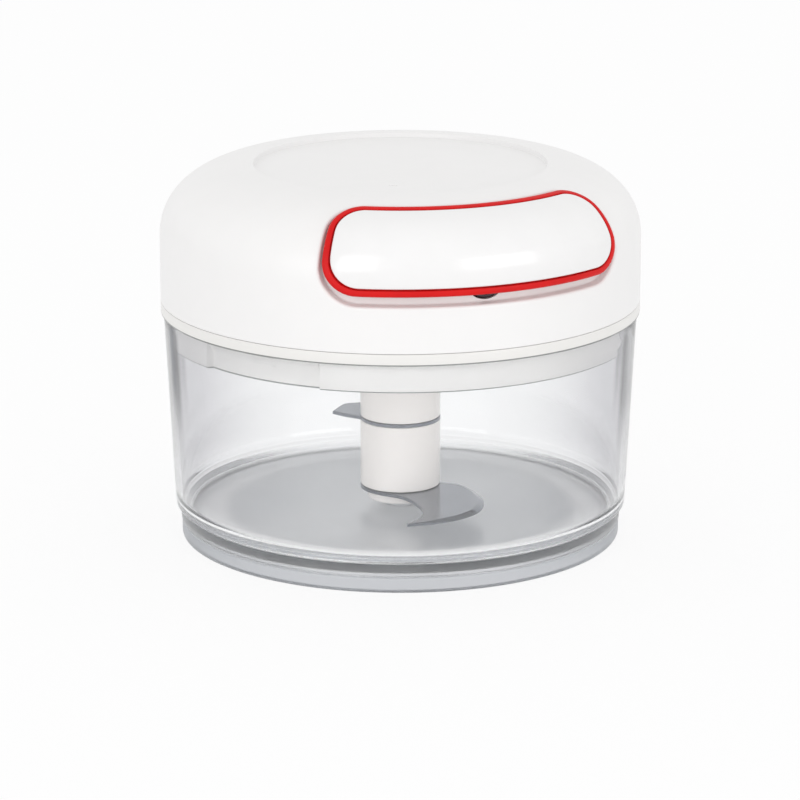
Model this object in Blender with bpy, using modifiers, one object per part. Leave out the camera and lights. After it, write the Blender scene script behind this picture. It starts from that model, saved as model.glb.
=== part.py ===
"""Pull-cord food chopper: clear bowl, twin-blade unit and a lid with a spring-return cord reel.

Units are metres and +Z is up. The origin is the centre of the bowl's foot, and the handle is pulled
along -Y. Everything that turns does so about +Z through the origin, apart from the clutch pawls.
"""

import math

import bmesh
import bpy
import numpy as np
from mathutils import Vector

CLEARANCE = 0.0003

# Bowl
BOWL_RIM_RADIUS = 0.0643
BOWL_TAPER = 0.0027
BOWL_WALL = 0.0018
BOWL_RIM_HEIGHT = 0.0623
BASE_STEP_HEIGHT = 0.0090
BASE_STEP_ROUND = 0.0009
FOOT_STEP = 0.0014
FOOT_WALL = 0.0016
FLOOR_HEIGHT = 0.0072
FLOOR_THICKNESS = 0.0020
FLOOR_FILLET = 0.0060
LUG_COUNT = 3
LUG_AZIMUTH = math.radians(-55.6)
LUG_WIDTH = 0.0100
LUG_HEIGHT = 0.0032
LUG_DROP = 0.0014
LUG_REACH = 0.0016
LUG_ROOT = 0.0008

# Soft ring round the foot, and the steel pin in the floor
RING_HEIGHT = 0.0040
RING_TONGUE = 0.0017
PIN_RADIUS = 0.0025
PIN_HEIGHT = 0.0176
PIN_SEAT = 0.0022
PIN_BOSS_WALL = 0.0016
PIN_BOSS_HEIGHT = 0.0016

# Lid shell
LID_OVERHANG = 0.0007
FLANGE_HEIGHT = 0.0030
COVER_WALL_HEIGHT = 0.0163
DOME_RISE = 0.0203
DOME_FULLNESS = 0.85
DOME_REACH = 0.0246
DISC_LIP = 0.0008
DISC_RECESS = 0.0012
COVER_WALL = 0.0020
SKIRT_GAP = 0.0006
SKIRT_DEPTH = 0.0079
SKIRT_WALL = 0.0031
CHANNEL_DEPTH = 0.0017
CHANNEL_AZIMUTH = math.radians(-57.2)
CHANNEL_EASE = math.radians(2.3)
TWIST_RANGE = math.radians(10.0)
BASE_FLOOR_DROP = 0.0026
BASE_FLOOR_THICKNESS = 0.0018
LOCATING_RIB = 0.0022
RIB_WALL = 0.0017
SEAL_WIDTH = 0.0011
SEAL_HEIGHT = 0.0010

# Screws between lid base and cover
SCREW_COUNT = 3
SCREW_INSET = 0.0170
SCREW_AZIMUTH = math.radians(75.0)
SCREW_SHANK_RADIUS = 0.0014
SCREW_HEAD_RADIUS = 0.0029
SCREW_HEAD_HEIGHT = 0.0018
SCREW_LENGTH = 0.0150
SCREW_RECESS = 0.0039
TOWER_WALL = 0.0016
TOWER_HEIGHT = 0.0082

# Handle, lying on the dome
HANDLE_LENGTH = 0.0852
HANDLE_WIDTH = 0.0264
HANDLE_DROP = 0.0015
HANDLE_CORNER = 0.0090
HANDLE_PROUD = 0.0011
HANDLE_CROWN = 0.0014
HANDLE_SHELL = 0.0016
HANDLE_INSET = 0.0030
RIM_WIDTH = 0.0019
RIM_DEPTH = 0.0027
BACK_THICKNESS = 0.0012
POCKET_DEPTH = 0.0026
POCKET_MARGIN = 0.0010
POCKET_LEDGE = 0.0026
POCKET_WALL = 0.0018
PULL_TRAVEL = 0.4000

# Cord, knot and outlet
CORD_RADIUS = 0.0008
CORD_TURNS = 4
CORD_GAP = 0.0005
POINTS_PER_TURN = 24
OUTLET_RISE = 0.0022
KNOT_RADIUS = 0.0024
KNOT_CUP_WALL = 0.0012
KNOT_CUP_DEPTH = 0.0084
EYELET_GAP = 0.0004
EYELET_WALL = 0.0011
EYELET_FLOOR = 0.0012
EYELET_FLANGE = 0.0014
EYELET_FLANGE_THICKNESS = 0.0016
OUTLET_BOSS_WALL = 0.0018

# Reel and spring
DRUM_RADIUS = 0.0168
DRUM_WALL = 0.0020
REEL_FLANGE_REACH = 0.0082
REEL_FLANGE = 0.0015
REEL_WEB = 0.0020
AXLE_RADIUS = 0.0025
REEL_HUB_WALL = 0.0020
ARBOR_WALL = 0.0014
SPRING_HEIGHT = 0.0045
SPRING_STRIP = 0.0004
SPRING_TURNS = 5
SPRING_SPACE = 0.0201
HOUSING_WALL = 0.0014
HOUSING_TOP = 0.0016
PLATE_THICKNESS = 0.0008
AXLE_BOSS_HEIGHT = 0.0018
AXLE_BOSS_WALL = 0.0018

# Drive spindle, bush and clip
JOURNAL_RADIUS = 0.0060
BUSH_WALL = 0.0017
BUSH_FLANGE = 0.0037
BUSH_FLANGE_THICKNESS = 0.0009
BOSS_DROP = 0.0027
BOSS_WALL = 0.0037
SPINDLE_FLANGE = 0.0090
SPINDLE_FLANGE_THICKNESS = 0.0008
NECK_RADIUS = 0.0075
PILOT_RADIUS = 0.0050
PILOT_LENGTH = 0.0040
RATCHET_TEETH = 8
RATCHET_ROOT = 0.0093
RATCHET_TIP = 0.0112
RATCHET_THICKNESS = 0.0035
RATCHET_GAP = 0.0035
HEX_CORNER = 0.0059
HEX_LENGTH = 0.0112
CLIP_THICKNESS = 0.0008
CLIP_REACH = 0.0020
GROOVE_STEP = 0.0005
CLIP_GAP = 0.0004

# Clutch pawls
PAWL_COUNT = 2
PAWL_PIVOT_CIRCLE = 0.0175
PAWL_PIN_RADIUS = 0.0016
PAWL_EYE_WALL = 0.0014
PAWL_HEAD = 0.0009
PAWL_LEAD = math.radians(38.0)

# Blade unit
COLUMN_RADIUS = 0.01095
COLUMN_ROUND = 0.0005
BLADE_THICKNESS = 0.0009
BLADE_AZIMUTH = math.radians(-20.5)
BLADE_ROOT_RADIUS = 0.0112
HUB_GAP = 0.0026
HUB_LENGTH = 0.0222
CORE_CORNER = 0.0056
CORE_GAP = 0.0003
HUB_WEB = 0.0020
SOCKET_DEPTH = 0.0122
SOCKET_PLAY = 0.0002
FOOT_COLLAR_RADIUS = 0.0106
FOOT_COLLAR_HEIGHT = 0.0025

# Radii and heights that follow from the sizes above
BOWL_BASE_RADIUS = BOWL_RIM_RADIUS - BOWL_TAPER
FOOT_RADIUS = BOWL_BASE_RADIUS - FOOT_STEP
FOOT_BOTTOM = RING_HEIGHT + CLEARANCE
FILLET_CENTRE_HEIGHT = FLOOR_HEIGHT + FLOOR_FILLET
FLANGE_BOTTOM = BOWL_RIM_HEIGHT + CLEARANCE
FLANGE_TOP = FLANGE_BOTTOM + FLANGE_HEIGHT
COVER_BOTTOM = FLANGE_TOP + CLEARANCE
SHOULDER = COVER_BOTTOM + COVER_WALL_HEIGHT
LID_TOP = SHOULDER + DOME_RISE
DOME_UNDERSIDE = LID_TOP - DISC_RECESS - COVER_WALL
LID_RADIUS = BOWL_RIM_RADIUS + LID_OVERHANG
CROWN_RADIUS = LID_RADIUS - DOME_REACH
SCREW_CIRCLE = LID_RADIUS - SCREW_INSET
SKIRT_BOTTOM = FLANGE_BOTTOM - SKIRT_DEPTH
BASE_FLOOR_BOTTOM = FLANGE_BOTTOM - BASE_FLOOR_DROP
BASE_FLOOR_TOP = BASE_FLOOR_BOTTOM + BASE_FLOOR_THICKNESS
BOSS_BOTTOM = BASE_FLOOR_BOTTOM - BOSS_DROP
LUG_TOP = BOWL_RIM_HEIGHT - LUG_DROP
TOWER_TOP = BASE_FLOOR_TOP + TOWER_HEIGHT

BUSH_FLANGE_TOP = BASE_FLOOR_TOP + CLEARANCE + BUSH_FLANGE_THICKNESS
BUSH_BOTTOM = BOSS_BOTTOM - CLEARANCE
SPINDLE_FLANGE_BOTTOM = BUSH_FLANGE_TOP + CLEARANCE
SPINDLE_FLANGE_TOP = SPINDLE_FLANGE_BOTTOM + SPINDLE_FLANGE_THICKNESS
CLIP_TOP = BUSH_BOTTOM - CLIP_GAP
CLIP_BOTTOM = CLIP_TOP - CLIP_THICKNESS
GROOVE_BOTTOM = CLIP_BOTTOM - CLEARANCE
GROOVE_RADIUS = HEX_CORNER * math.cos(math.pi / 6) - GROOVE_STEP
HEX_BOTTOM = GROOVE_BOTTOM - HEX_LENGTH

AXLE_BORE = AXLE_RADIUS + CLEARANCE
HOUSING_TOP_HEIGHT = DOME_UNDERSIDE - CLEARANCE
SPRING_TOP = HOUSING_TOP_HEIGHT - HOUSING_TOP - CLEARANCE
SPRING_BOTTOM = SPRING_TOP - SPRING_HEIGHT
PLATE_TOP = SPRING_BOTTOM - CLEARANCE
PLATE_BOTTOM = PLATE_TOP - PLATE_THICKNESS
REEL_TOP = PLATE_BOTTOM - CLEARANCE
CORD_PITCH = 2 * CORD_RADIUS + CORD_GAP
WIND_RADIUS = DRUM_RADIUS + CLEARANCE + CORD_RADIUS
RUN_START_HEIGHT = REEL_TOP - REEL_FLANGE - CLEARANCE - CORD_RADIUS
WIND_TOP = RUN_START_HEIGHT - CORD_PITCH
WIND_BOTTOM = WIND_TOP - CORD_TURNS * CORD_PITCH
DRUM_BOTTOM = WIND_BOTTOM - CORD_RADIUS - CLEARANCE
REEL_BOTTOM = DRUM_BOTTOM - REEL_FLANGE
RATCHET_TOP = REEL_BOTTOM - RATCHET_GAP
RATCHET_BOTTOM = RATCHET_TOP - RATCHET_THICKNESS
PILOT_TOP = REEL_BOTTOM + PILOT_LENGTH

PIN_BOSS_TOP = FLOOR_HEIGHT + PIN_BOSS_HEIGHT
PIN_BORE = PIN_RADIUS + CLEARANCE
PIN_TOP = PIN_BOSS_TOP + PIN_HEIGHT
CORE_BOTTOM = PIN_BOSS_TOP + CLEARANCE
LOWER_BLADE_HEIGHT = CORE_BOTTOM + FOOT_COLLAR_HEIGHT + CLEARANCE
LOWER_BLADE_TOP = LOWER_BLADE_HEIGHT + BLADE_THICKNESS
HUB_TOP = BOSS_BOTTOM - HUB_GAP
HUB_BOTTOM = HUB_TOP - HUB_LENGTH
UPPER_BLADE_TOP = HUB_BOTTOM - CLEARANCE
UPPER_BLADE_HEIGHT = UPPER_BLADE_TOP - BLADE_THICKNESS
SOCKET_BOTTOM = HUB_TOP - SOCKET_DEPTH
CORE_TOP = SOCKET_BOTTOM - HUB_WEB - CLEARANCE
CORE_FLAT = CORE_CORNER * math.cos(math.pi / 6)
SOCKET_FLAT = HEX_CORNER * math.cos(math.pi / 6 - TWIST_RANGE) + SOCKET_PLAY

HANDLE_MEAN_RADIUS = LID_RADIUS - HANDLE_INSET
OUTLET_HEIGHT = SHOULDER + OUTLET_RISE
KNOT_CUP_RADIUS = KNOT_RADIUS + CLEARANCE + KNOT_CUP_WALL
EYELET_BORE = KNOT_CUP_RADIUS + EYELET_GAP
EYELET_RADIUS = EYELET_BORE + EYELET_WALL
HANDLE_BACK_Y = -(LID_RADIUS - POCKET_DEPTH + CLEARANCE + BACK_THICKNESS)
KNOT_CUP_END_Y = HANDLE_BACK_Y + KNOT_CUP_DEPTH
EYELET_FLOOR_Y = KNOT_CUP_END_Y + EYELET_GAP
EYELET_END_Y = EYELET_FLOOR_Y + EYELET_FLOOR
OUTLET_BOSS_Y = EYELET_END_Y - EYELET_FLANGE_THICKNESS - CLEARANCE
POCKET_BACK_Y = -(LID_RADIUS - POCKET_DEPTH - POCKET_WALL)
CORD_HOLE = CORD_RADIUS + 0.0005

SHARP_ANGLE = math.radians(35.0)


def clear_scene():
    """Remove every object that the file opened with."""
    for thing in list(bpy.data.objects):
        bpy.data.objects.remove(thing, do_unlink=True)


def new_collection(name):
    """Return a collection linked to the scene."""
    group = bpy.data.collections.new(name)
    bpy.context.scene.collection.children.link(group)
    return group


def surface(name, colour, roughness, metallic=0.0, transmission=0.0):
    """Return a Principled material."""
    finish = bpy.data.materials.new(name)
    finish.use_nodes = True
    shader = finish.node_tree.nodes["Principled BSDF"]
    shader.inputs["Base Color"].default_value = (*colour, 1.0)
    shader.inputs["Roughness"].default_value = roughness
    shader.inputs["Metallic"].default_value = metallic
    shader.inputs["Transmission Weight"].default_value = transmission
    finish.diffuse_color = (*colour, 1.0 - 0.6 * transmission)
    return finish


def add(name, data, group=None, finish=None):
    """Link a new object, as a part of the chopper or as a cutter."""
    thing = bpy.data.objects.new(name, data)
    if finish is None:
        CUTTERS.objects.link(thing)
        thing.hide_render = True
        thing.display_type = "WIRE"
    else:
        group.objects.link(thing)
        data.materials.append(finish)
    return thing


def turned(name, profile, finish=None, closed=False, steps=44):
    """Turn (radius, height) points about Z, listed clockwise so that the outer side runs down."""
    mesh = bpy.data.meshes.new(name)
    points = [(radius, 0.0, height) for radius, height in profile]
    edges = [(i, i + 1) for i in range(len(points) - 1)]
    if closed:
        edges.append((len(points) - 1, 0))
    mesh.from_pydata(points, edges, [])
    piece = add(name, mesh, PARTS, finish)
    screw = piece.modifiers.new("turn", "SCREW")
    screw.steps = steps
    screw.render_steps = steps
    screw.use_merge_vertices = True
    screw.merge_threshold = 0.00001
    screw.use_smooth_shade = True
    return piece


def settled(piece):
    """Replace an object's data by its evaluated mesh with merged points, and drop its modifiers."""
    graph = bpy.context.evaluated_depsgraph_get()
    mesh = bpy.data.meshes.new_from_object(piece.evaluated_get(graph))
    shape = bmesh.new()
    shape.from_mesh(mesh)
    bmesh.ops.remove_doubles(shape, verts=shape.verts, dist=0.000001)
    shape.to_mesh(mesh)
    shape.free()
    mesh.shade_smooth()
    mesh.set_sharp_from_angle(angle=SHARP_ANGLE)
    if piece.type == "MESH":
        piece.modifiers.clear()
        piece.data = mesh
        return piece
    settled_piece = bpy.data.objects.new(piece.name, mesh)
    settled_piece.matrix_world = piece.matrix_world.copy()
    settled_piece.hide_render = piece.hide_render
    settled_piece.display_type = piece.display_type
    group = piece.users_collection[0]
    name = piece.name
    bpy.data.objects.remove(piece, do_unlink=True)
    settled_piece.name = name
    group.objects.link(settled_piece)
    return settled_piece


def plate(name, outlines, low, high, finish=None):
    """Extrude flat outlines of (x, y) points from one height to another; an inner one is a hole."""
    curve = bpy.data.curves.new(name, "CURVE")
    curve.dimensions = "2D"
    curve.fill_mode = "BOTH"
    curve.extrude = (high - low) / 2
    for outline in outlines:
        spline = curve.splines.new("POLY")
        spline.points.add(len(outline) - 1)
        for point, (x, y) in zip(spline.points, outline):
            point.co = (x, y, 0.0, 1.0)
        spline.use_cyclic_u = True
    piece = add(name, curve, PARTS, finish)
    piece.location.z = (low + high) / 2
    bpy.context.view_layer.update()
    return settled(piece)


def cylinder(name, radius, start, end, sides=32):
    """Return a cutter or filler cylinder between two points."""
    start = Vector(start)
    end = Vector(end)
    shape = bmesh.new()
    bmesh.ops.create_cone(
        shape, cap_ends=True, segments=sides, radius1=radius, radius2=radius, depth=(end - start).length
    )
    mesh = bpy.data.meshes.new(name)
    shape.to_mesh(mesh)
    shape.free()
    piece = add(name, mesh)
    piece.location = (start + end) / 2
    piece.rotation_mode = "QUATERNION"
    piece.rotation_quaternion = (end - start).to_track_quat("Z", "Y")
    return piece


def combine(piece, tool, operation):
    """Cut, join or keep the common part of a piece and a tool with an exact Boolean."""
    boolean = piece.modifiers.new(f"{operation.lower()} {tool.name}", "BOOLEAN")
    boolean.operation = operation
    boolean.solver = "EXACT"
    boolean.object = tool


def cut(piece, *tools):
    """Take tools away from a piece."""
    for tool in tools:
        combine(piece, tool, "DIFFERENCE")


def join(piece, *tools):
    """Add tools to a piece as one body."""
    for tool in tools:
        combine(piece, tool, "UNION")


def on_circle(radius, azimuth, height=0.0):
    """Return the point at a radius and azimuth, measured from -Y towards +X."""
    return (radius * math.sin(azimuth), -radius * math.cos(azimuth), height)


def arc(radius, start, end, count):
    """Return (x, y) points on a circle between two azimuths."""
    return [on_circle(radius, azimuth)[:2] for azimuth in np.linspace(start, end, count)]


def sector(name, inner, outer, azimuth, half_angle, low, high):
    """Return a block between two radii and two azimuths."""
    near = arc(inner, azimuth - half_angle, azimuth + half_angle, 9)
    far = arc(outer, azimuth + half_angle, azimuth - half_angle, 9)
    return plate(name, [near + far], low, high)


def regular_polygon(corner_radius, sides, turn=0.0):
    """Return the corners of a regular polygon."""
    return arc(corner_radius, turn, turn + math.tau * (sides - 1) / sides, sides)


def wall_radius(height):
    """Return the bowl's outer radius at a height: a straight draft from base to rim."""
    share = (height - BASE_STEP_HEIGHT) / (BOWL_RIM_HEIGHT - BASE_STEP_HEIGHT)
    return BOWL_BASE_RADIUS + share * (BOWL_RIM_RADIUS - BOWL_BASE_RADIUS)


def dome_frame(angle):
    """Return radius, height and outward normal on the dome: angle 0 is the shoulder, a quarter the crown.

    The section is a superellipse, fuller than an ellipse in its height.
    """
    span = LID_RADIUS - CROWN_RADIUS
    radius = CROWN_RADIUS + span * np.cos(angle)
    height = SHOULDER + DOME_RISE * np.sin(angle) ** DOME_FULLNESS
    outward = DOME_RISE * DOME_FULLNESS * np.cos(angle)
    upward = span * np.sin(angle) ** (2.0 - DOME_FULLNESS)
    length = np.hypot(outward, upward)
    return radius, height, outward / length, upward / length


ARC_ANGLES = np.linspace(0.0, math.pi / 2, 600)
ARC_RADII, ARC_HEIGHTS = dome_frame(ARC_ANGLES)[:2]
ARC_LENGTHS = np.concatenate([[0.0], np.cumsum(np.hypot(np.diff(ARC_RADII), np.diff(ARC_HEIGHTS)))])


def dome_offset(angle, depth):
    """Return the (radius, height) that lies a depth under the dome at an angle."""
    radius, height, outward, upward = dome_frame(angle)
    return float(radius - depth * outward), float(height - depth * upward)


def on_dome(along, up, proud):
    """Place a flat point on the dome: along it, up its meridian from the shoulder, and proud of it."""
    radius, height, outward, upward = dome_frame(np.interp(up, ARC_LENGTHS, ARC_ANGLES))
    radius = radius + proud * outward
    height = height + min(up, 0.0) + proud * upward
    azimuth = along / HANDLE_MEAN_RADIUS
    return on_circle(float(radius), azimuth, float(height))


def round_outline(half_length, half_width, corner, middle):
    """Return the points of a rounded rectangle, each with the nearest point on its spine."""
    straight = half_length - corner
    rise = half_width - corner
    bends = []
    for centre_x, centre_y, first in (
        (straight, rise, 0),
        (-straight, rise, 90),
        (-straight, -rise, 180),
        (straight, -rise, 270),
    ):
        turns = np.radians(np.linspace(first, first + 90, 4))
        bends.append(
            [(centre_x + corner * math.cos(turn), centre_y + corner * math.sin(turn)) for turn in turns]
        )
    points = []
    for i, bend in enumerate(bends):
        points += bend
        start = bend[-1]
        end = bends[(i + 1) % 4][0]
        pieces = (9, 2)[i % 2]
        for step in range(1, pieces):
            share = step / pieces
            points.append((start[0] + share * (end[0] - start[0]), start[1] + share * (end[1] - start[1])))
    spine = half_length - half_width
    return [(x, y + middle, min(max(x, -spine), spine), middle) for x, y in points]


def swept(name, outline, half_width, section, finish=None, ring=False):
    """Carry a section of (inset, proud) points round an outline on the dome.

    A point at an inset lies that share of the way from the outline to its spine. An open section
    starts and ends on the spine, where the two sides of the outline meet and close the body.
    """
    shape = bmesh.new()
    rows = []
    for x, y, spine_x, spine_y in outline:
        row = []
        for inset, proud in section:
            share = inset / half_width
            along = x + share * (spine_x - x)
            up = y + share * (spine_y - y)
            row.append(shape.verts.new(on_dome(along, up, proud)))
        rows.append(row)
    steps = len(section) if ring else len(section) - 1
    for i, row in enumerate(rows):
        following = rows[(i + 1) % len(rows)]
        for k in range(steps):
            n = (k + 1) % len(section)
            shape.faces.new((row[k], row[n], following[n], following[k]))
    bmesh.ops.remove_doubles(shape, verts=shape.verts, dist=0.000001)
    bmesh.ops.recalc_face_normals(shape, faces=shape.faces)
    mesh = bpy.data.meshes.new(name)
    shape.to_mesh(mesh)
    shape.free()
    mesh.shade_smooth()
    mesh.set_sharp_from_angle(angle=SHARP_ANGLE)
    return add(name, mesh, PARTS, finish)


def tube(name, points, radius, finish, sides_setting):
    """Return a round tube through points, with filled ends."""
    curve = bpy.data.curves.new(name, "CURVE")
    curve.dimensions = "3D"
    curve.bevel_depth = radius
    curve.bevel_resolution = sides_setting
    curve.use_fill_caps = True
    spline = curve.splines.new("POLY")
    spline.points.add(len(points) - 1)
    for point, place in zip(spline.points, points):
        point.co = (*place, 1.0)
    return add(name, curve, PARTS, finish)


def body_empty(name, place=(0.0, 0.0, 0.0)):
    """Return an empty on a joint's axis, which carries a moving body."""
    empty = bpy.data.objects.new(name, None)
    empty.empty_display_size = 0.01
    empty.location = place
    PARTS.objects.link(empty)
    return empty


def carry(empty, *pieces):
    """Parent pieces to an empty without moving them."""
    bpy.context.view_layer.update()
    for piece in pieces:
        piece.parent = empty
        piece.matrix_parent_inverse = empty.matrix_world.inverted()


def make_bowl():
    """Clear bowl: floor with pin boss, filleted corner, drafted wall, stepped foot and locking lugs."""
    inner_at_fillet = wall_radius(FILLET_CENTRE_HEIGHT) - BOWL_WALL
    flat = inner_at_fillet - FLOOR_FILLET
    under_fillet = FLOOR_FILLET + FLOOR_THICKNESS
    foot_inner = FOOT_RADIUS - FOOT_WALL
    under_start = math.asin((foot_inner - flat) / under_fillet)
    rim_round = 0.3 * BOWL_WALL
    profile = [
        (0.0, PIN_BOSS_TOP - PIN_SEAT - CLEARANCE),
        (PIN_BORE, PIN_BOSS_TOP - PIN_SEAT - CLEARANCE),
        (PIN_BORE, PIN_BOSS_TOP),
        (PIN_BORE + PIN_BOSS_WALL, PIN_BOSS_TOP),
        (PIN_BORE + PIN_BOSS_WALL, FLOOR_HEIGHT),
    ]
    for angle in np.linspace(0.0, math.pi / 2, 6):
        profile.append(
            (flat + FLOOR_FILLET * math.sin(angle), FILLET_CENTRE_HEIGHT - FLOOR_FILLET * math.cos(angle))
        )
    profile += [
        (BOWL_RIM_RADIUS - BOWL_WALL, BOWL_RIM_HEIGHT - rim_round),
        (BOWL_RIM_RADIUS - BOWL_WALL + rim_round, BOWL_RIM_HEIGHT),
        (BOWL_RIM_RADIUS - rim_round, BOWL_RIM_HEIGHT),
        (BOWL_RIM_RADIUS, BOWL_RIM_HEIGHT - rim_round),
        (BOWL_BASE_RADIUS, BASE_STEP_HEIGHT),
        (BOWL_BASE_RADIUS - 0.3 * BASE_STEP_ROUND, BASE_STEP_HEIGHT - 0.7 * BASE_STEP_ROUND),
        (FOOT_RADIUS, BASE_STEP_HEIGHT - BASE_STEP_ROUND),
        (FOOT_RADIUS, FOOT_BOTTOM),
        (foot_inner, FOOT_BOTTOM),
    ]
    for angle in np.linspace(under_start, 0.0, 4):
        profile.append(
            (flat + under_fillet * math.sin(angle), FILLET_CENTRE_HEIGHT - under_fillet * math.cos(angle))
        )
    profile.append((0.0, FLOOR_HEIGHT - FLOOR_THICKNESS))
    bowl = turned("bowl", profile, CLEAR)
    wall_inner = wall_radius(LUG_TOP - LUG_HEIGHT) - BOWL_WALL
    for i in range(LUG_COUNT):
        azimuth = LUG_AZIMUTH + i * math.tau / LUG_COUNT
        half_angle = 0.5 * LUG_WIDTH / wall_inner
        inner = wall_inner - LUG_REACH
        root = wall_inner + LUG_ROOT
        join(bowl, sector(f"lug {i}", inner, root, azimuth, half_angle, LUG_TOP - LUG_HEIGHT, LUG_TOP))
    return bowl


def make_non_slip_ring():
    """Soft ring under the foot, with a tongue that reaches up inside the foot's wall."""
    inner_at_fillet = wall_radius(FILLET_CENTRE_HEIGHT) - BOWL_WALL
    flat = inner_at_fillet - FLOOR_FILLET
    outer = FOOT_RADIUS - 0.0002
    tongue_outer = FOOT_RADIUS - FOOT_WALL - CLEARANCE
    tongue_inner = tongue_outer - RING_TONGUE
    reach = FLOOR_FILLET + FLOOR_THICKNESS
    underside = FILLET_CENTRE_HEIGHT - math.sqrt(reach**2 - (tongue_inner - flat) ** 2)
    chamfer = 0.1 * RING_HEIGHT
    profile = [
        (tongue_inner, underside - CLEARANCE),
        (tongue_outer, underside - CLEARANCE),
        (tongue_outer, RING_HEIGHT),
        (outer, RING_HEIGHT),
        (outer, chamfer),
        (outer - chamfer, 0.0),
        (tongue_inner + chamfer, 0.0),
        (tongue_inner, chamfer),
    ]
    return turned("non_slip_ring", profile, SOFT_CLEAR, closed=True)


def make_pivot_pin():
    """Steel pin pressed into the floor's boss."""
    tip = 0.4 * PIN_RADIUS
    foot = PIN_BOSS_TOP - PIN_SEAT
    profile = [
        (0.0, PIN_TOP),
        (PIN_RADIUS - tip, PIN_TOP),
        (PIN_RADIUS - 0.3 * tip, PIN_TOP - 0.3 * tip),
        (PIN_RADIUS, PIN_TOP - tip),
        (PIN_RADIUS, foot),
        (0.0, foot),
    ]
    return turned("pivot_pin", profile, STEEL, steps=16)


def make_lid_seal():
    """Soft ring in the flange's groove, above the bowl's rim."""
    middle = BOWL_RIM_RADIUS - 0.5 * BOWL_WALL
    low = FLANGE_BOTTOM
    high = low + SEAL_HEIGHT
    inner = middle - 0.5 * SEAL_WIDTH
    outer = middle + 0.5 * SEAL_WIDTH
    corners = [(inner, high), (outer, high), (outer, low), (inner, low)]
    return turned("lid_seal", corners, SOFT_WHITE, closed=True)


def make_lid_base():
    """Flange, skirt with lug channels, floor with bearing boss, locating rib and screw towers."""
    groove_middle = BOWL_RIM_RADIUS - 0.5 * BOWL_WALL
    groove_inner = groove_middle - 0.5 * SEAL_WIDTH - CLEARANCE
    groove_outer = groove_middle + 0.5 * SEAL_WIDTH + CLEARANCE
    groove_top = FLANGE_BOTTOM + SEAL_HEIGHT + CLEARANCE
    skirt_outer = BOWL_RIM_RADIUS - BOWL_WALL - SKIRT_GAP
    skirt_inner = skirt_outer - SKIRT_WALL
    rib_outer = LID_RADIUS - COVER_WALL - CLEARANCE
    rib_inner = rib_outer - RIB_WALL
    rib_top = FLANGE_TOP + LOCATING_RIB
    bore = JOURNAL_RADIUS + CLEARANCE + BUSH_WALL + CLEARANCE
    chamfer = 0.2 * SKIRT_WALL
    profile = [
        (rib_inner, rib_top),
        (rib_outer, rib_top),
        (rib_outer, FLANGE_TOP),
        (LID_RADIUS, FLANGE_TOP),
        (LID_RADIUS, FLANGE_BOTTOM),
        (groove_outer, FLANGE_BOTTOM),
        (groove_outer, groove_top),
        (groove_inner, groove_top),
        (groove_inner, FLANGE_BOTTOM),
        (skirt_outer, FLANGE_BOTTOM),
        (skirt_outer, SKIRT_BOTTOM + chamfer),
        (skirt_outer - chamfer, SKIRT_BOTTOM),
        (skirt_inner, SKIRT_BOTTOM),
        (skirt_inner, BASE_FLOOR_BOTTOM),
        (bore + BOSS_WALL, BASE_FLOOR_BOTTOM),
        (bore + BOSS_WALL, BOSS_BOTTOM),
        (bore, BOSS_BOTTOM),
        (bore, BASE_FLOOR_TOP),
        (rib_inner, BASE_FLOOR_TOP),
    ]
    base = turned("lid_base", profile, WHITE, closed=True)
    head_bore = SCREW_HEAD_RADIUS + CLEARANCE
    shank_bore = SCREW_SHANK_RADIUS + CLEARANCE
    for i in range(SCREW_COUNT):
        azimuth = screw_azimuth(i)
        low = on_circle(SCREW_CIRCLE, azimuth, BASE_FLOOR_BOTTOM + 0.5 * BASE_FLOOR_THICKNESS)
        high = on_circle(SCREW_CIRCLE, azimuth, TOWER_TOP)
        join(base, cylinder(f"tower {i}", head_bore + TOWER_WALL, low, high, 16))
        under = on_circle(SCREW_CIRCLE, azimuth, BASE_FLOOR_BOTTOM - 0.001)
        seat = on_circle(SCREW_CIRCLE, azimuth, screw_seat())
        over = on_circle(SCREW_CIRCLE, azimuth, TOWER_TOP + 0.001)
        cut(base, cylinder(f"head bore {i}", head_bore, under, seat, 16))
        cut(base, cylinder(f"shank bore {i}", shank_bore, under, over, 12))
    channel_floor = skirt_outer - CHANNEL_DEPTH
    half_angle = TWIST_RANGE + 0.5 * LUG_WIDTH / channel_floor + CHANNEL_EASE
    for i in range(LUG_COUNT):
        azimuth = CHANNEL_AZIMUTH + i * math.tau / LUG_COUNT
        low = SKIRT_BOTTOM - 0.001
        high = LUG_TOP + CLEARANCE
        cut(base, sector(f"channel {i}", channel_floor, BOWL_RIM_RADIUS, azimuth, half_angle, low, high))
    return base


def screw_azimuth(i):
    """Return a screw's azimuth: one on each side of the handle's pocket and one at the back."""
    return (SCREW_AZIMUTH, math.pi, -SCREW_AZIMUTH)[i]


def screw_seat():
    """Return the height of the shoulder that a screw's head bears on."""
    return BASE_FLOOR_BOTTOM + SCREW_RECESS + SCREW_HEAD_HEIGHT


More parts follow.
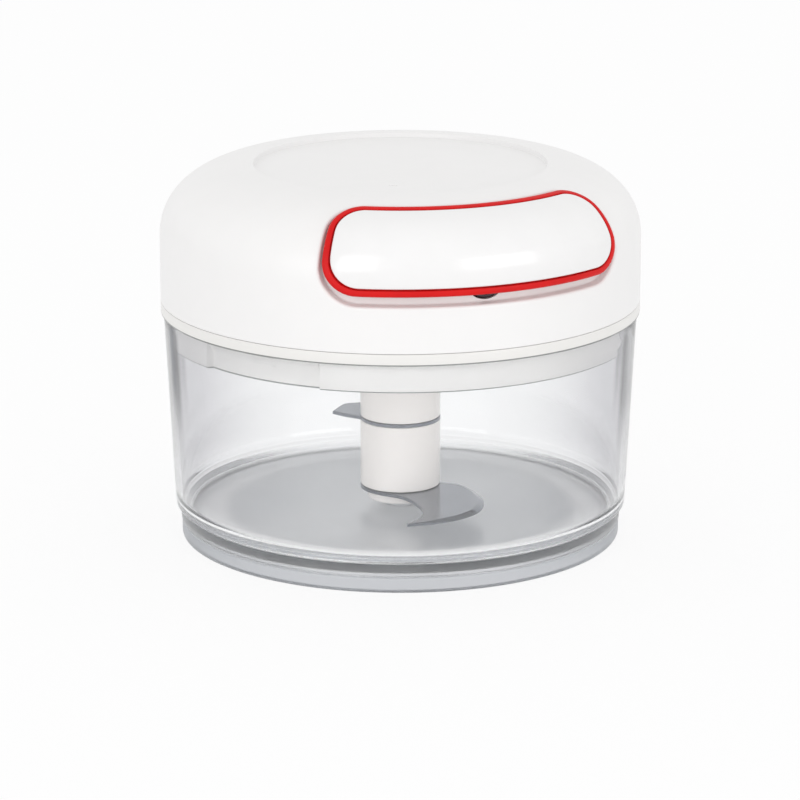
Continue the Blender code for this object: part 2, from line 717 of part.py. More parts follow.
def make_screws():
    """Pan-head screws, driven up through the lid base into the cover's posts."""
    pieces = []
    seat = screw_seat() - CLEARANCE
    for i in range(SCREW_COUNT):
        profile = [
            (0.0, seat + SCREW_LENGTH),
            (0.4 * SCREW_SHANK_RADIUS, seat + SCREW_LENGTH),
            (SCREW_SHANK_RADIUS, seat + SCREW_LENGTH - SCREW_SHANK_RADIUS),
            (SCREW_SHANK_RADIUS, seat),
            (SCREW_HEAD_RADIUS, seat),
            (SCREW_HEAD_RADIUS, seat - 0.5 * SCREW_HEAD_HEIGHT),
            (0.7 * SCREW_HEAD_RADIUS, seat - SCREW_HEAD_HEIGHT),
            (0.0, seat - SCREW_HEAD_HEIGHT),
        ]
        screw = turned(f"lid_screw_{i + 1}", profile, STEEL, steps=12)
        screw.location = on_circle(SCREW_CIRCLE, screw_azimuth(i))
        slot_floor = seat - 0.4 * SCREW_HEAD_HEIGHT
        for turn in (0.0, math.pi / 2):
            arm = 0.55 * SCREW_HEAD_RADIUS
            bar = 0.14 * SCREW_HEAD_RADIUS
            corners = [(-arm, -bar), (arm, -bar), (arm, bar), (-arm, bar)]
            cosine, sine = math.cos(turn), math.sin(turn)
            outline = [(x * cosine - y * sine, x * sine + y * cosine) for x, y in corners]
            cross = plate(f"cross slot {i} {turn:.1f}", [outline], seat - 2 * SCREW_HEAD_HEIGHT, slot_floor)
            cross.location.x, cross.location.y = on_circle(SCREW_CIRCLE, screw_azimuth(i))[:2]
            cut(screw, cross)
        pieces.append(screw)
    return pieces


def pocket_outline(extra):
    """Return the outline and half width of the handle's pocket, grown by an extra margin."""
    low = -HANDLE_DROP - POCKET_LEDGE - extra
    high = HANDLE_WIDTH - HANDLE_DROP + POCKET_MARGIN + extra
    half_width = (high - low) / 2
    half_length = HANDLE_LENGTH / 2 + POCKET_MARGIN + extra
    corner = HANDLE_CORNER + POCKET_MARGIN + extra
    return round_outline(half_length, half_width, corner, (high + low) / 2), half_width


def make_pocket_cutter():
    """Shallow recess for the handle, with a rounded lip."""
    outline, half_width = pocket_outline(0.0)
    lip = 0.0010
    above = 0.0030
    section = [
        (half_width, above),
        (0.55 * half_width, above),
        (0.25 * half_width, above),
        (-lip, above),
        (-lip, 0.2 * lip),
        (-0.4 * lip, -0.3 * lip),
        (0.0, -lip),
        (0.0, 0.5 * lip - POCKET_DEPTH),
        (0.5 * lip, -POCKET_DEPTH),
        (0.25 * half_width, -POCKET_DEPTH),
        (0.55 * half_width, -POCKET_DEPTH),
        (half_width, -POCKET_DEPTH),
    ]
    return swept("pocket cutter", outline, half_width, section)


def make_lid_cover(pocket):
    """Domed cover: sunk top disc, handle pocket with its own back wall, screw posts and axle boss."""
    crown_inner = CROWN_RADIUS - DISC_LIP
    disc = LID_TOP - DISC_RECESS
    outer = [(0.0, disc), (crown_inner - 0.3 * DISC_RECESS, disc), (crown_inner, LID_TOP)]
    outer += [dome_offset(angle, 0.0) for angle in np.linspace(math.pi / 2, 0.0, 11)]
    outer += [(LID_RADIUS, COVER_BOTTOM), (0.0, COVER_BOTTOM)]
    cover = turned("lid_cover", outer, WHITE)
    inner = [(0.0, DOME_UNDERSIDE), (crown_inner - COVER_WALL, DOME_UNDERSIDE)]
    inner += [dome_offset(angle, COVER_WALL) for angle in np.linspace(0.46 * math.pi, 0.0, 6)]
    inner += [(LID_RADIUS - COVER_WALL, COVER_BOTTOM - 0.001), (0.0, COVER_BOTTOM - 0.001)]
    cavity = turned("cavity", inner)
    outline, half_width = pocket_outline(POCKET_WALL)
    back = -POCKET_DEPTH - POCKET_WALL
    tub_section = [(half_width, 0.002), (0.5 * half_width, 0.002), (0.0, 0.002), (0.0, back)]
    tub_section += [(0.25 * half_width, back), (0.55 * half_width, back), (half_width, back)]
    cut(cavity, swept("pocket wall", outline, half_width, tub_section))
    shank_bore = SCREW_SHANK_RADIUS + CLEARANCE
    post_bottom = TOWER_TOP + CLEARANCE
    for i in range(SCREW_COUNT):
        low = on_circle(SCREW_CIRCLE, screw_azimuth(i), post_bottom)
        high = on_circle(SCREW_CIRCLE, screw_azimuth(i), LID_TOP + 0.001)
        cut(cavity, cylinder(f"post {i}", shank_bore + TOWER_WALL, low, high, 16))
    boss_bottom = DOME_UNDERSIDE - AXLE_BOSS_HEIGHT
    boss_radius = AXLE_BORE + AXLE_BOSS_WALL
    cut(cavity, cylinder("axle boss", boss_radius, (0, 0, boss_bottom), (0, 0, LID_TOP + 0.001), 32))
    boss_front = (0.0, POCKET_BACK_Y - 0.5 * POCKET_WALL, OUTLET_HEIGHT)
    boss_back = (0.0, OUTLET_BOSS_Y, OUTLET_HEIGHT)
    cut(cavity, cylinder("outlet boss", EYELET_RADIUS + OUTLET_BOSS_WALL, boss_front, boss_back, 32))
    flange_room = EYELET_RADIUS + EYELET_FLANGE + CLEARANCE
    room_back = (0.0, EYELET_END_Y + 0.004, OUTLET_HEIGHT)
    join(cavity, cylinder("flange room", flange_room, boss_back, room_back, 32))
    cut(cover, cavity, pocket)
    seat_top = (0, 0, axle_top() + CLEARANCE)
    cut(cover, cylinder("axle seat", AXLE_BORE, (0, 0, boss_bottom - 0.001), seat_top, 32))
    for i in range(SCREW_COUNT):
        low = on_circle(SCREW_CIRCLE, screw_azimuth(i), post_bottom - 0.001)
        high = on_circle(SCREW_CIRCLE, screw_azimuth(i), screw_seat() + SCREW_LENGTH + CLEARANCE)
        cut(cover, cylinder(f"screw hole {i}", shank_bore, low, high, 12))
    front = (0.0, -LID_RADIUS - 0.005, OUTLET_HEIGHT)
    behind = (0.0, OUTLET_BOSS_Y + 0.001, OUTLET_HEIGHT)
    cut(cover, cylinder("outlet hole", EYELET_RADIUS + CLEARANCE, front, behind, 32))
    return cover


def make_cord_eyelet(pocket):
    """Dark cup in the pocket's back wall: the knot cup nests in it and the cord leaves its floor."""
    flange_front = EYELET_FLANGE_THICKNESS - EYELET_END_Y
    eyelet = turned(
        "cord_eyelet",
        [
            (EYELET_BORE, LID_RADIUS),
            (EYELET_RADIUS, LID_RADIUS),
            (EYELET_RADIUS, flange_front),
            (EYELET_RADIUS + EYELET_FLANGE, flange_front),
            (EYELET_RADIUS + EYELET_FLANGE, -EYELET_END_Y),
            (CORD_HOLE, -EYELET_END_Y),
            (CORD_HOLE, -EYELET_FLOOR_Y),
            (EYELET_BORE, -EYELET_FLOOR_Y),
        ],
        DARK,
        closed=True,
        steps=20,
    )
    eyelet.location.z = OUTLET_HEIGHT
    eyelet.rotation_euler.x = math.pi / 2
    cut(eyelet, pocket)
    return eyelet


def make_handle():
    """Bowed handle: face, soft rim, back with the knot cup."""
    half_length = HANDLE_LENGTH / 2
    half_width = HANDLE_WIDTH / 2
    outline = round_outline(half_length, half_width, HANDLE_CORNER, half_width - HANDLE_DROP)
    edge = RIM_WIDTH + CLEARANCE
    shares = (1.0, 0.72, 0.45, 0.27)

    def crown(inset):
        share = (half_width - inset) / (half_width - edge)
        return HANDLE_PROUD + HANDLE_CROWN * (1.0 - share**2)

    top = [(share * half_width, crown(share * half_width)) for share in shares]
    rounded = [(edge + 0.0004, crown(edge)), (edge, HANDLE_PROUD - 0.0004)]
    under = [(inset, proud - HANDLE_SHELL) for inset, proud in reversed(top)]
    under.insert(0, (edge, HANDLE_PROUD - HANDLE_SHELL))
    face = swept("handle_face", outline, half_width, top + rounded + under, WHITE_GLOSS)

    round_edge = 0.35 * RIM_WIDTH
    rim_low = HANDLE_PROUD - RIM_DEPTH
    rim_section = [
        (RIM_WIDTH, HANDLE_PROUD - 0.0002),
        (0.6 * RIM_WIDTH, HANDLE_PROUD + 0.0001),
        (round_edge, HANDLE_PROUD - 0.0001),
        (0.3 * round_edge, HANDLE_PROUD - 0.5 * round_edge),
        (0.0, HANDLE_PROUD - 1.5 * round_edge),
        (0.0, rim_low + round_edge),
        (round_edge, rim_low),
        (RIM_WIDTH, rim_low),
    ]
    rim = swept("handle_rim", outline, half_width, rim_section, RED, ring=True)

    back_low = CLEARANCE - POCKET_DEPTH
    back_high = back_low + BACK_THICKNESS
    back_section = [(share * half_width, back_high) for share in shares]
    back_section += [(edge, back_high), (edge, back_low)]
    back_section += [(share * half_width, back_low) for share in reversed(shares)]
    back = swept("handle_back", outline, half_width, back_section, WHITE)
    cup_start = (0.0, HANDLE_BACK_Y + 0.8 * BACK_THICKNESS, OUTLET_HEIGHT)
    cup_end = (0.0, KNOT_CUP_END_Y, OUTLET_HEIGHT)
    cup_floor = (0.0, KNOT_CUP_END_Y - KNOT_CUP_WALL, OUTLET_HEIGHT)
    through = (0.0, KNOT_CUP_END_Y + 0.002, OUTLET_HEIGHT)
    join(back, cylinder("knot cup", KNOT_CUP_RADIUS, cup_start, cup_end, 32))
    mouth = (0.0, -LID_RADIUS + 0.0004, OUTLET_HEIGHT)
    cut(back, cylinder("knot cup bore", KNOT_CUP_RADIUS - KNOT_CUP_WALL, mouth, cup_floor, 24))
    cut(back, cylinder("cup cord hole", CORD_RADIUS + CLEARANCE, mouth, through, 16))
    return face, rim, back


def make_knot():
    """Bead crimped on the cord's end, caught in the knot cup."""
    shape = bmesh.new()
    bmesh.ops.create_uvsphere(shape, u_segments=12, v_segments=8, radius=KNOT_RADIUS)
    mesh = bpy.data.meshes.new("cord_knot")
    shape.to_mesh(mesh)
    shape.free()
    mesh.shade_smooth()
    knot = add("cord_knot", mesh, PARTS, CORD)
    knot.rotation_euler.x = math.pi / 2
    knot.location = (0.0, knot_y(), OUTLET_HEIGHT)
    return knot


def knot_y():
    """Return the knot's place on Y, against the knot cup's floor."""
    return KNOT_CUP_END_Y - KNOT_CUP_WALL - CLEARANCE - KNOT_RADIUS


def helix(start):
    """Return the points of the winding: whole turns about +Z that rise from the drum's lower flange."""
    points = []
    count = CORD_TURNS * POINTS_PER_TURN
    for i in range(count + 1):
        angle = start + math.tau * i / POINTS_PER_TURN
        height = WIND_BOTTOM + CORD_TURNS * CORD_PITCH * i / count
        points.append(Vector((WIND_RADIUS * math.cos(angle), WIND_RADIUS * math.sin(angle), height)))
    for near, beyond in ((0, 1), (-1, -2)):
        outward = (points[near] - points[beyond]).normalized() * 2 * CORD_RADIUS
        place = points[near] + outward
        if near == 0:
            points.insert(0, place)
        else:
            points.append(place)
    return points


def least_gap(points):
    """Return the least gap between stretches of a winding that lie more than a third of a turn apart."""
    skip = POINTS_PER_TURN // 3
    least = min(
        (a - b).length for i, a in enumerate(points) for b in points[i + skip:]
    )
    return least - 2 * CORD_RADIUS


def leave_angle():
    """Return the angle on the drum, from +X, at which the cord leaves on its way to the outlet."""
    return -math.pi / 2 - math.acos(WIND_RADIUS / -EYELET_END_Y)


def make_cord():
    """Winding on the drum, run from the drum to the outlet, and lead from the outlet to the knot."""
    leave = leave_angle()
    wrap = math.radians(40.0)
    points = helix(leave - wrap)
    print(f"cord winding: least gap to itself {1000 * least_gap(points):.2f} mm")
    winding = tube("cord_winding", points, CORD_RADIUS, CORD, 1)

    run = []
    for angle in np.linspace(leave - wrap, leave, 6):
        run.append(Vector((WIND_RADIUS * math.cos(angle), WIND_RADIUS * math.sin(angle), RUN_START_HEIGHT)))
    mouth = Vector((0.0, EYELET_END_Y, OUTLET_HEIGHT))
    straight = mouth + Vector((0.0, 0.0045, 0.0))
    start = run[-1]
    towards = Vector((-math.sin(leave), math.cos(leave), 0.0))
    reach = (straight - start).length
    first = start + towards * 0.35 * reach
    second = straight + Vector((0.0, 0.35 * reach, 0.0))
    for share in [step / 14 for step in range(1, 15)]:
        rest = 1.0 - share
        place = rest**3 * start + 3 * rest**2 * share * first
        place += 3 * rest * share**2 * second + share**3 * straight
        run.append(place)
    gap_middle = (EYELET_END_Y + EYELET_FLOOR_Y) / 2
    run.append(Vector((0.0, gap_middle, OUTLET_HEIGHT)))
    run_piece = tube("cord_run", run, CORD_RADIUS, CORD, 2)

    lead_start = gap_middle - CLEARANCE
    lead_end = knot_y() + KNOT_RADIUS + CLEARANCE
    lead = [Vector((0.0, y, OUTLET_HEIGHT)) for y in (lead_start, (lead_start + lead_end) / 2, lead_end)]
    return winding, run_piece, tube("cord_lead", lead, CORD_RADIUS, CORD, 2)


def make_reel():
    """Flanged drum with hub, spring arbor, spindle counterbore and the clutch's pawl posts."""
    flange = DRUM_RADIUS + REEL_FLANGE_REACH
    pilot_bore = PILOT_RADIUS + CLEARANCE
    hub = pilot_bore + REEL_HUB_WALL
    arbor_top = SPRING_TOP
    web_top = REEL_BOTTOM + REEL_WEB
    profile = [
        (AXLE_BORE, arbor_top),
        (AXLE_BORE + ARBOR_WALL, arbor_top),
        (AXLE_BORE + ARBOR_WALL, REEL_TOP),
        (hub, REEL_TOP),
        (hub, web_top),
        (DRUM_RADIUS - DRUM_WALL, web_top),
        (DRUM_RADIUS - DRUM_WALL, REEL_TOP),
        (flange, REEL_TOP),
        (flange, REEL_TOP - REEL_FLANGE),
        (DRUM_RADIUS, REEL_TOP - REEL_FLANGE),
        (DRUM_RADIUS, DRUM_BOTTOM),
        (flange, DRUM_BOTTOM),
        (flange, REEL_BOTTOM),
        (pilot_bore, REEL_BOTTOM),
        (pilot_bore, PILOT_TOP + CLEARANCE),
        (AXLE_BORE, PILOT_TOP + CLEARANCE),
    ]
    reel = turned("reel", profile, GREY, closed=True, steps=32)
    pawl_top = RATCHET_TOP + CLEARANCE
    pawl_bottom = RATCHET_BOTTOM - CLEARANCE
    shoulder = PAWL_PIN_RADIUS + PAWL_EYE_WALL
    post = [
        (0.0, REEL_BOTTOM + 0.5 * REEL_FLANGE),
        (shoulder, REEL_BOTTOM + 0.5 * REEL_FLANGE),
        (shoulder, pawl_top),
        (PAWL_PIN_RADIUS, pawl_top),
        (PAWL_PIN_RADIUS, pawl_bottom),
        (PAWL_PIN_RADIUS + PAWL_HEAD, pawl_bottom),
        (PAWL_PIN_RADIUS + PAWL_HEAD, pawl_bottom - PAWL_HEAD),
        (0.0, pawl_bottom - PAWL_HEAD),
    ]
    for i in range(PAWL_COUNT):
        stud = turned(f"pawl post {i}", post, steps=16)
        stud.location = pawl_pivot(i)
        join(reel, stud)
    return reel


def tooth_face(i):
    """Return the angle, from +X, of the steep face that a pawl pushes."""
    return math.tau * i / PAWL_COUNT


def pawl_pivot(i):
    """Return the pivot of a pawl, which trails the tooth face that it pushes."""
    angle = tooth_face(i) - PAWL_LEAD
    return (PAWL_PIVOT_CIRCLE * math.cos(angle), PAWL_PIVOT_CIRCLE * math.sin(angle), 0.0)


def make_pawl(i):
    """Pawl: an eye on its post and a nose in the ratchet wheel's tooth gap."""
    pivot = Vector(pawl_pivot(i))
    face = tooth_face(i)

    def polar(radius, angle):
        return Vector((radius * math.cos(angle), radius * math.sin(angle), 0.0))

    back = CLEARANCE / RATCHET_ROOT
    inner_tip = polar(RATCHET_ROOT + 1.5 * CLEARANCE, face - 1.6 * back)
    outer_tip = polar(RATCHET_TIP + 0.0008, face - 1.6 * back)
    eye = PAWL_PIN_RADIUS + CLEARANCE + PAWL_EYE_WALL
    aim = (outer_tip - pivot).normalized()
    side = Vector((-aim.y, aim.x, 0.0))
    heading = math.atan2(side.y, side.x)
    outline = [inner_tip]
    for turn in np.linspace(heading - 0.22 * math.pi, heading + 1.18 * math.pi, 14):
        outline.append(pivot + eye * Vector((math.cos(turn), math.sin(turn), 0.0)))
    outline.append(outer_tip)
    bore = PAWL_PIN_RADIUS + CLEARANCE
    turns = [step * math.tau / 16 for step in range(16)]
    hole = [pivot + bore * Vector((math.cos(turn), math.sin(turn), 0.0)) for turn in turns]
    flat = [[(point.x, point.y) for point in loop] for loop in (outline, hole)]
    return plate(f"clutch_pawl_{i + 1}", flat, RATCHET_BOTTOM, RATCHET_TOP, GREY)


def make_spindle():
    """Drive spindle: pilot, ratchet wheel, flange, journal, clip groove and hexagonal end."""
    seat = RATCHET_BOTTOM
    overlap = 0.0002
    profile = [
        (0.0, seat),
        (AXLE_BORE, seat),
        (AXLE_BORE, PILOT_TOP),
        (PILOT_RADIUS, PILOT_TOP),
        (PILOT_RADIUS, RATCHET_TOP + overlap),
        (NECK_RADIUS, RATCHET_TOP + overlap),
        (NECK_RADIUS, SPINDLE_FLANGE_TOP),
        (SPINDLE_FLANGE, SPINDLE_FLANGE_TOP),
        (SPINDLE_FLANGE, SPINDLE_FLANGE_BOTTOM),
        (JOURNAL_RADIUS, SPINDLE_FLANGE_BOTTOM),
        (JOURNAL_RADIUS, CLIP_TOP + CLEARANCE),
        (GROOVE_RADIUS, CLIP_TOP + CLEARANCE),
        (GROOVE_RADIUS, GROOVE_BOTTOM - 0.0010),
        (0.0, GROOVE_BOTTOM - 0.0010),
    ]
    spindle = turned("drive_spindle", profile, GREY, steps=28)
    hexagon = regular_polygon(HEX_CORNER, 6, BLADE_AZIMUTH)
    join(spindle, plate("hex end", [hexagon], HEX_BOTTOM, GROOVE_BOTTOM))
    wheel = []
    for tooth in range(RATCHET_TEETH):
        steep = tooth * math.tau / RATCHET_TEETH
        for share in (0.0, 0.25, 0.5, 0.75, 0.98):
            radius = RATCHET_TIP + share * (RATCHET_ROOT - RATCHET_TIP) / 0.98
            angle = steep + share * math.tau / RATCHET_TEETH
            wheel.append((radius * math.cos(angle), radius * math.sin(angle)))
    centre = regular_polygon(0.5 * (AXLE_BORE + NECK_RADIUS), 12)
    join(spindle, plate("ratchet wheel", [wheel, centre], RATCHET_BOTTOM, RATCHET_TOP))
    return spindle


def make_clip():
    """Open retaining ring in the spindle's groove."""
    inner = GROOVE_RADIUS + CLEARANCE
    outer = JOURNAL_RADIUS + CLEARANCE + CLIP_REACH
    opening = math.radians(38.0)
    outline = arc(outer, opening, math.tau - opening, 20)
    outline += arc(inner, math.tau - opening, opening, 20)
    return plate("spindle_clip", [outline], CLIP_BOTTOM, CLIP_TOP, STEEL)


def make_bush():
    """Flanged plain bearing in the lid base's boss."""
    inner = JOURNAL_RADIUS + CLEARANCE
    sleeve = inner + BUSH_WALL
    profile = [
        (inner, BUSH_FLANGE_TOP),
        (inner + BUSH_FLANGE, BUSH_FLANGE_TOP),
        (inner + BUSH_FLANGE, BASE_FLOOR_TOP + CLEARANCE),
        (sleeve, BASE_FLOOR_TOP + CLEARANCE),
        (sleeve, BUSH_BOTTOM),
        (inner, BUSH_BOTTOM),
    ]
    return turned("spindle_bush", profile, NATURAL, closed=True, steps=28)


def axle_top():
    """Return the height of the reel axle's upper end, inside the cover's boss."""
    return DOME_UNDERSIDE + 0.3 * COVER_WALL


def make_axle():
    """Steel axle from the cover's boss down into the spindle's bore."""
    low = RATCHET_BOTTOM + CLEARANCE
    chamfer = 0.2 * AXLE_RADIUS
    profile = [
        (0.0, axle_top()),
        (AXLE_RADIUS - chamfer, axle_top()),
        (AXLE_RADIUS, axle_top() - chamfer),
        (AXLE_RADIUS, low + chamfer),
        (AXLE_RADIUS - chamfer, low),
        (0.0, low),
    ]
    return turned("reel_axle", profile, STEEL, steps=16)


def make_spring():
    """Spiral strip from the arbor to the housing's wall."""
    first = AXLE_BORE + ARBOR_WALL + CLEARANCE
    last = SPRING_SPACE - CLEARANCE - SPRING_STRIP
    count = 14 * SPRING_TURNS
    inside = []
    outside = []
    for i in range(count + 1):
        share = i / count
        angle = -share * SPRING_TURNS * math.tau
        radius = first + share * (last - first)
        outer = radius + SPRING_STRIP
        inside.append((radius * math.cos(angle), radius * math.sin(angle)))
        outside.append((outer * math.cos(angle), outer * math.sin(angle)))
    return plate("power_spring", [inside + outside[::-1]], SPRING_BOTTOM, SPRING_TOP, STEEL)


def make_spring_housing():
    """Cup under the dome's top disc, and the plate that closes it."""
    hole = AXLE_BORE + AXLE_BOSS_WALL + CLEARANCE
    outer = SPRING_SPACE + HOUSING_WALL
    inner_top = SPRING_TOP + CLEARANCE
    housing = turned(
        "spring_housing",
        [
            (hole, HOUSING_TOP_HEIGHT),
            (outer, HOUSING_TOP_HEIGHT),
            (outer, PLATE_BOTTOM),
            (SPRING_SPACE, PLATE_BOTTOM),
            (SPRING_SPACE, inner_top),
            (hole, inner_top),
        ],
        NATURAL,
        closed=True,
        steps=32,
    )
    bore = AXLE_BORE + ARBOR_WALL + 2 * CLEARANCE
    edge = SPRING_SPACE - CLEARANCE
    corners = [(bore, PLATE_TOP), (edge, PLATE_TOP), (edge, PLATE_BOTTOM), (bore, PLATE_BOTTOM)]
    return housing, turned("spring_plate", corners, STEEL, closed=True, steps=32)


LOWER_OUTLINE = (
    (0.0109, 0.0000),
    (0.0175, -0.0028),
    (0.0208, -0.0080),
    (0.0226, -0.0160),
    (0.0213, -0.0250),
    (0.0166, -0.0318),
    (0.0100, -0.0362),
    (0.0018, -0.0390),
    (0.0048, -0.0340),
    (0.0060, -0.0285),
    (0.0048, -0.0215),
    (0.0008, -0.0140),
    (-0.0060, -0.0095),
)
UPPER_OUTLINE = (
    (-0.0110, -0.0020),
    (-0.0148, 0.0003),
    (-0.0186, 0.0034),
    (-0.0155, 0.0108),
    (-0.0112, 0.0128),
    (-0.0100, 0.0190),
    (-0.0088, 0.0265),
    (-0.0048, 0.0330),
    (0.0032, 0.0382),
    (0.0010, 0.0325),
    (0.0008, 0.0262),
    (0.0026, 0.0196),
    (0.0054, 0.0138),
    (0.0080, 0.0078),
)
# Where each outline comes to a point: the lower blade's tip, and the upper one's heel and tip
LOWER_POINTS = (7,)
UPPER_POINTS = (2, 8)


def blade_outline(corners, sharp, steps=4):
    """Return a sickle's outline: a spline through its corners, broken at sharp ones, closed by the root."""
    points = [Vector((*corner, 0.0)) for corner in corners]
    outline = []
    breaks = [0, *sharp, len(points) - 1]
    for first, last in zip(breaks[:-1], breaks[1:]):
        piece = points[first: last + 1]
        padded = [2 * piece[0] - piece[1], *piece, 2 * piece[-1] - piece[-2]]
        for i in range(1, len(padded) - 2):
            before, start, end, after = padded[i - 1: i + 3]
            for share in [step / steps for step in range(steps)]:
                slope_in = (end - before) / 2
                slope_out = (after - start) / 2
                bend = 2 * share**3 - 3 * share**2 + 1
                place = bend * start + (1 - bend) * end
                place += (share**3 - 2 * share**2 + share) * slope_in + (share**3 - share**2) * slope_out
                outline.append((place.x, place.y))
    outline.append(corners[-1])
    start = math.atan2(corners[-1][1], corners[-1][0])
    end = math.atan2(corners[0][1], corners[0][0])
    for angle in np.linspace(start, start - (start - end) % math.tau, 18)[1:-1]:
        outline.append((BLADE_ROOT_RADIUS * math.cos(angle), BLADE_ROOT_RADIUS * math.sin(angle)))
    return outline


def make_blade(name, height, corners, sharp):
    """Flat sickle blade with a keyed hole on the core."""
    cosine, sine = math.cos(BLADE_AZIMUTH), math.sin(BLADE_AZIMUTH)
    flat = blade_outline(corners, sharp)
    outline = [(x * cosine - y * sine, x * sine + y * cosine) for x, y in flat]
    keyed = regular_polygon((CORE_FLAT + CORE_GAP) / math.cos(math.pi / 6), 6, BLADE_AZIMUTH)
    return plate(name, [outline, keyed], height, height + BLADE_THICKNESS, STEEL)


def make_blade_unit():
    """Core, two blades, the sleeves that part them and the collar that holds them."""
    hexagon = regular_polygon(CORE_CORNER, 6, BLADE_AZIMUTH)
    core = plate("blade_core", [hexagon], CORE_BOTTOM, CORE_TOP, NATURAL)
    bore_top = (0.0, 0.0, PIN_TOP + CLEARANCE)
    cut(core, cylinder("core bore", PIN_BORE, (0, 0, CORE_BOTTOM - 0.001), bore_top, 24))
    core_bore = CORE_CORNER + CORE_GAP
    hub = turned(
        "blade_hub",
        [
            (0.0, HUB_TOP),
            (COLUMN_RADIUS - COLUMN_ROUND, HUB_TOP),
            (COLUMN_RADIUS, HUB_TOP - COLUMN_ROUND),
            (COLUMN_RADIUS, HUB_BOTTOM),
            (core_bore, HUB_BOTTOM),
            (core_bore, CORE_TOP + CLEARANCE),
            (0.0, CORE_TOP + CLEARANCE),
        ],
        WHITE_GLOSS,
        steps=28,
    )
    socket = regular_polygon(SOCKET_FLAT / math.cos(math.pi / 6), 6, BLADE_AZIMUTH)
    cut(hub, plate("hub socket", [socket], SOCKET_BOTTOM, HUB_TOP + 0.001))
    spacer_low = LOWER_BLADE_TOP + CLEARANCE
    spacer_high = UPPER_BLADE_HEIGHT - CLEARANCE
    sleeve = [
        (core_bore, spacer_high),
        (COLUMN_RADIUS, spacer_high),
        (COLUMN_RADIUS, spacer_low),
        (core_bore, spacer_low),
    ]
    spacer = turned("blade_spacer", sleeve, WHITE_GLOSS, closed=True, steps=28)
    foot_high = LOWER_BLADE_HEIGHT - CLEARANCE
    foot_low = CORE_BOTTOM
    ring = [
        (core_bore, foot_high),
        (FOOT_COLLAR_RADIUS, foot_high),
        (FOOT_COLLAR_RADIUS, foot_low + COLUMN_ROUND),
        (FOOT_COLLAR_RADIUS - COLUMN_ROUND, foot_low),
        (core_bore, foot_low),
    ]
    foot = turned("blade_foot", ring, WHITE_GLOSS, closed=True, steps=28)
    lower = make_blade("blade_lower", LOWER_BLADE_HEIGHT, LOWER_OUTLINE, LOWER_POINTS)
    upper = make_blade("blade_upper", UPPER_BLADE_HEIGHT, UPPER_OUTLINE, UPPER_POINTS)
    return core, hub, spacer, foot, lower, upper


def main():
    """Build every piece and hang the moving ones on their joints' empties."""
    make_bowl()
    make_non_slip_ring()
    make_pivot_pin()

    seal_body = body_empty("seal_body")
    lid_body = body_empty("lid_body")
    handle_body = body_empty("handle_body", (0.0, 0.0, OUTLET_HEIGHT))
    reel_body = body_empty("reel_body")
    spindle_body = body_empty("spindle_body")
    blades_body = body_empty("blades_body")
    carry(seal_body, make_lid_seal(), lid_body)
    pocket = make_pocket_cutter()
    carry(lid_body, make_lid_cover(pocket), make_lid_base(), make_cord_eyelet(pocket))
    carry(lid_body, make_bush(), make_axle())
    carry(lid_body, *make_screws(), *make_spring_housing(), make_spring())
    carry(lid_body, handle_body, reel_body, spindle_body)
    winding, run, lead = make_cord()
    carry(lid_body, run)
    carry(handle_body, *make_handle(), make_knot(), lead)
    carry(reel_body, make_reel(), winding)
    for i in range(PAWL_COUNT):
        pawl_body = body_empty(f"pawl_{i + 1}_body", pawl_pivot(i))
        carry(reel_body, pawl_body)
        carry(pawl_body, make_pawl(i))
    carry(spindle_body, make_spindle(), make_clip())
    carry(blades_body, *make_blade_unit())


clear_scene()
PARTS = new_collection("food_chopper")
CUTTERS = new_collection("cutters")
CLEAR = surface("clear plastic", (0.90, 0.93, 0.95), 0.05, transmission=1.0)
SOFT_CLEAR = surface("clear soft plastic", (0.85, 0.88, 0.90), 0.25, transmission=0.9)
WHITE = surface("white plastic", (0.87, 0.87, 0.87), 0.35)
WHITE_GLOSS = surface("glossy white plastic", (0.90, 0.89, 0.88), 0.15)
SOFT_WHITE = surface("white soft seal", (0.80, 0.80, 0.78), 0.60)
RED = surface("red soft rim", (0.75, 0.02, 0.02), 0.45)
DARK = surface("dark plastic", (0.03, 0.03, 0.05), 0.40)
GREY = surface("grey plastic", (0.55, 0.56, 0.58), 0.40)
NATURAL = surface("natural plastic", (0.82, 0.80, 0.74), 0.40)
STEEL = surface("steel", (0.70, 0.71, 0.72), 0.20, metallic=1.0)
CORD = surface("cord", (0.75, 0.74, 0.72), 0.80)
main()
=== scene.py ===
"""Looks of the pull-cord food chopper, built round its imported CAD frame.

Lengths are in metres, in the frame of the CAD: +Z up along the blade column, the handle pulled
along -Y. An azimuth is an angle about +Z, from -Y towards +X.
"""

import logging
import math
from dataclasses import dataclass
from enum import Enum
from functools import cached_property

import bmesh
import bpy
import numpy as np
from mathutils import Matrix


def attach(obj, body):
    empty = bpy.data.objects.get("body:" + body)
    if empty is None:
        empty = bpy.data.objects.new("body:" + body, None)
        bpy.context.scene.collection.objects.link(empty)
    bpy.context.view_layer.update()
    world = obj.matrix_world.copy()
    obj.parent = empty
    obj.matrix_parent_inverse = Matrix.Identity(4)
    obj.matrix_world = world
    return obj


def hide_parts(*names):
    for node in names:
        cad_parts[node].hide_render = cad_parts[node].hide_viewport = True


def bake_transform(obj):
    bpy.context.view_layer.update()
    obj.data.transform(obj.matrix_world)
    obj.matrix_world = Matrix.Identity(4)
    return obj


LOG = logging.getLogger("food_chopper")
TAU = math.tau
SAME_POINT = 2e-6  # nearer points are merged
CLOSE = 1e-9  # slack where lengths are compared
SHARP_ANGLE = math.radians(35.0)
GROUND_ANGLE = math.radians(12.0)  # for the blades' shallow ground faces
NOISE_MIDDLE = (0.3, 0.7)  # where most noise values lie
CORD_UV = "Length"
CORD_RADIUS = 0.0008
CORD_PLAY = 0.0003
BRAID_PITCH = 5.0  # in cord radii
TUBE_END = np.array([[0.0, 1.0], [0.5, 0.87], [0.87, 0.5]])  # ring sizes of a domed end, and their reach
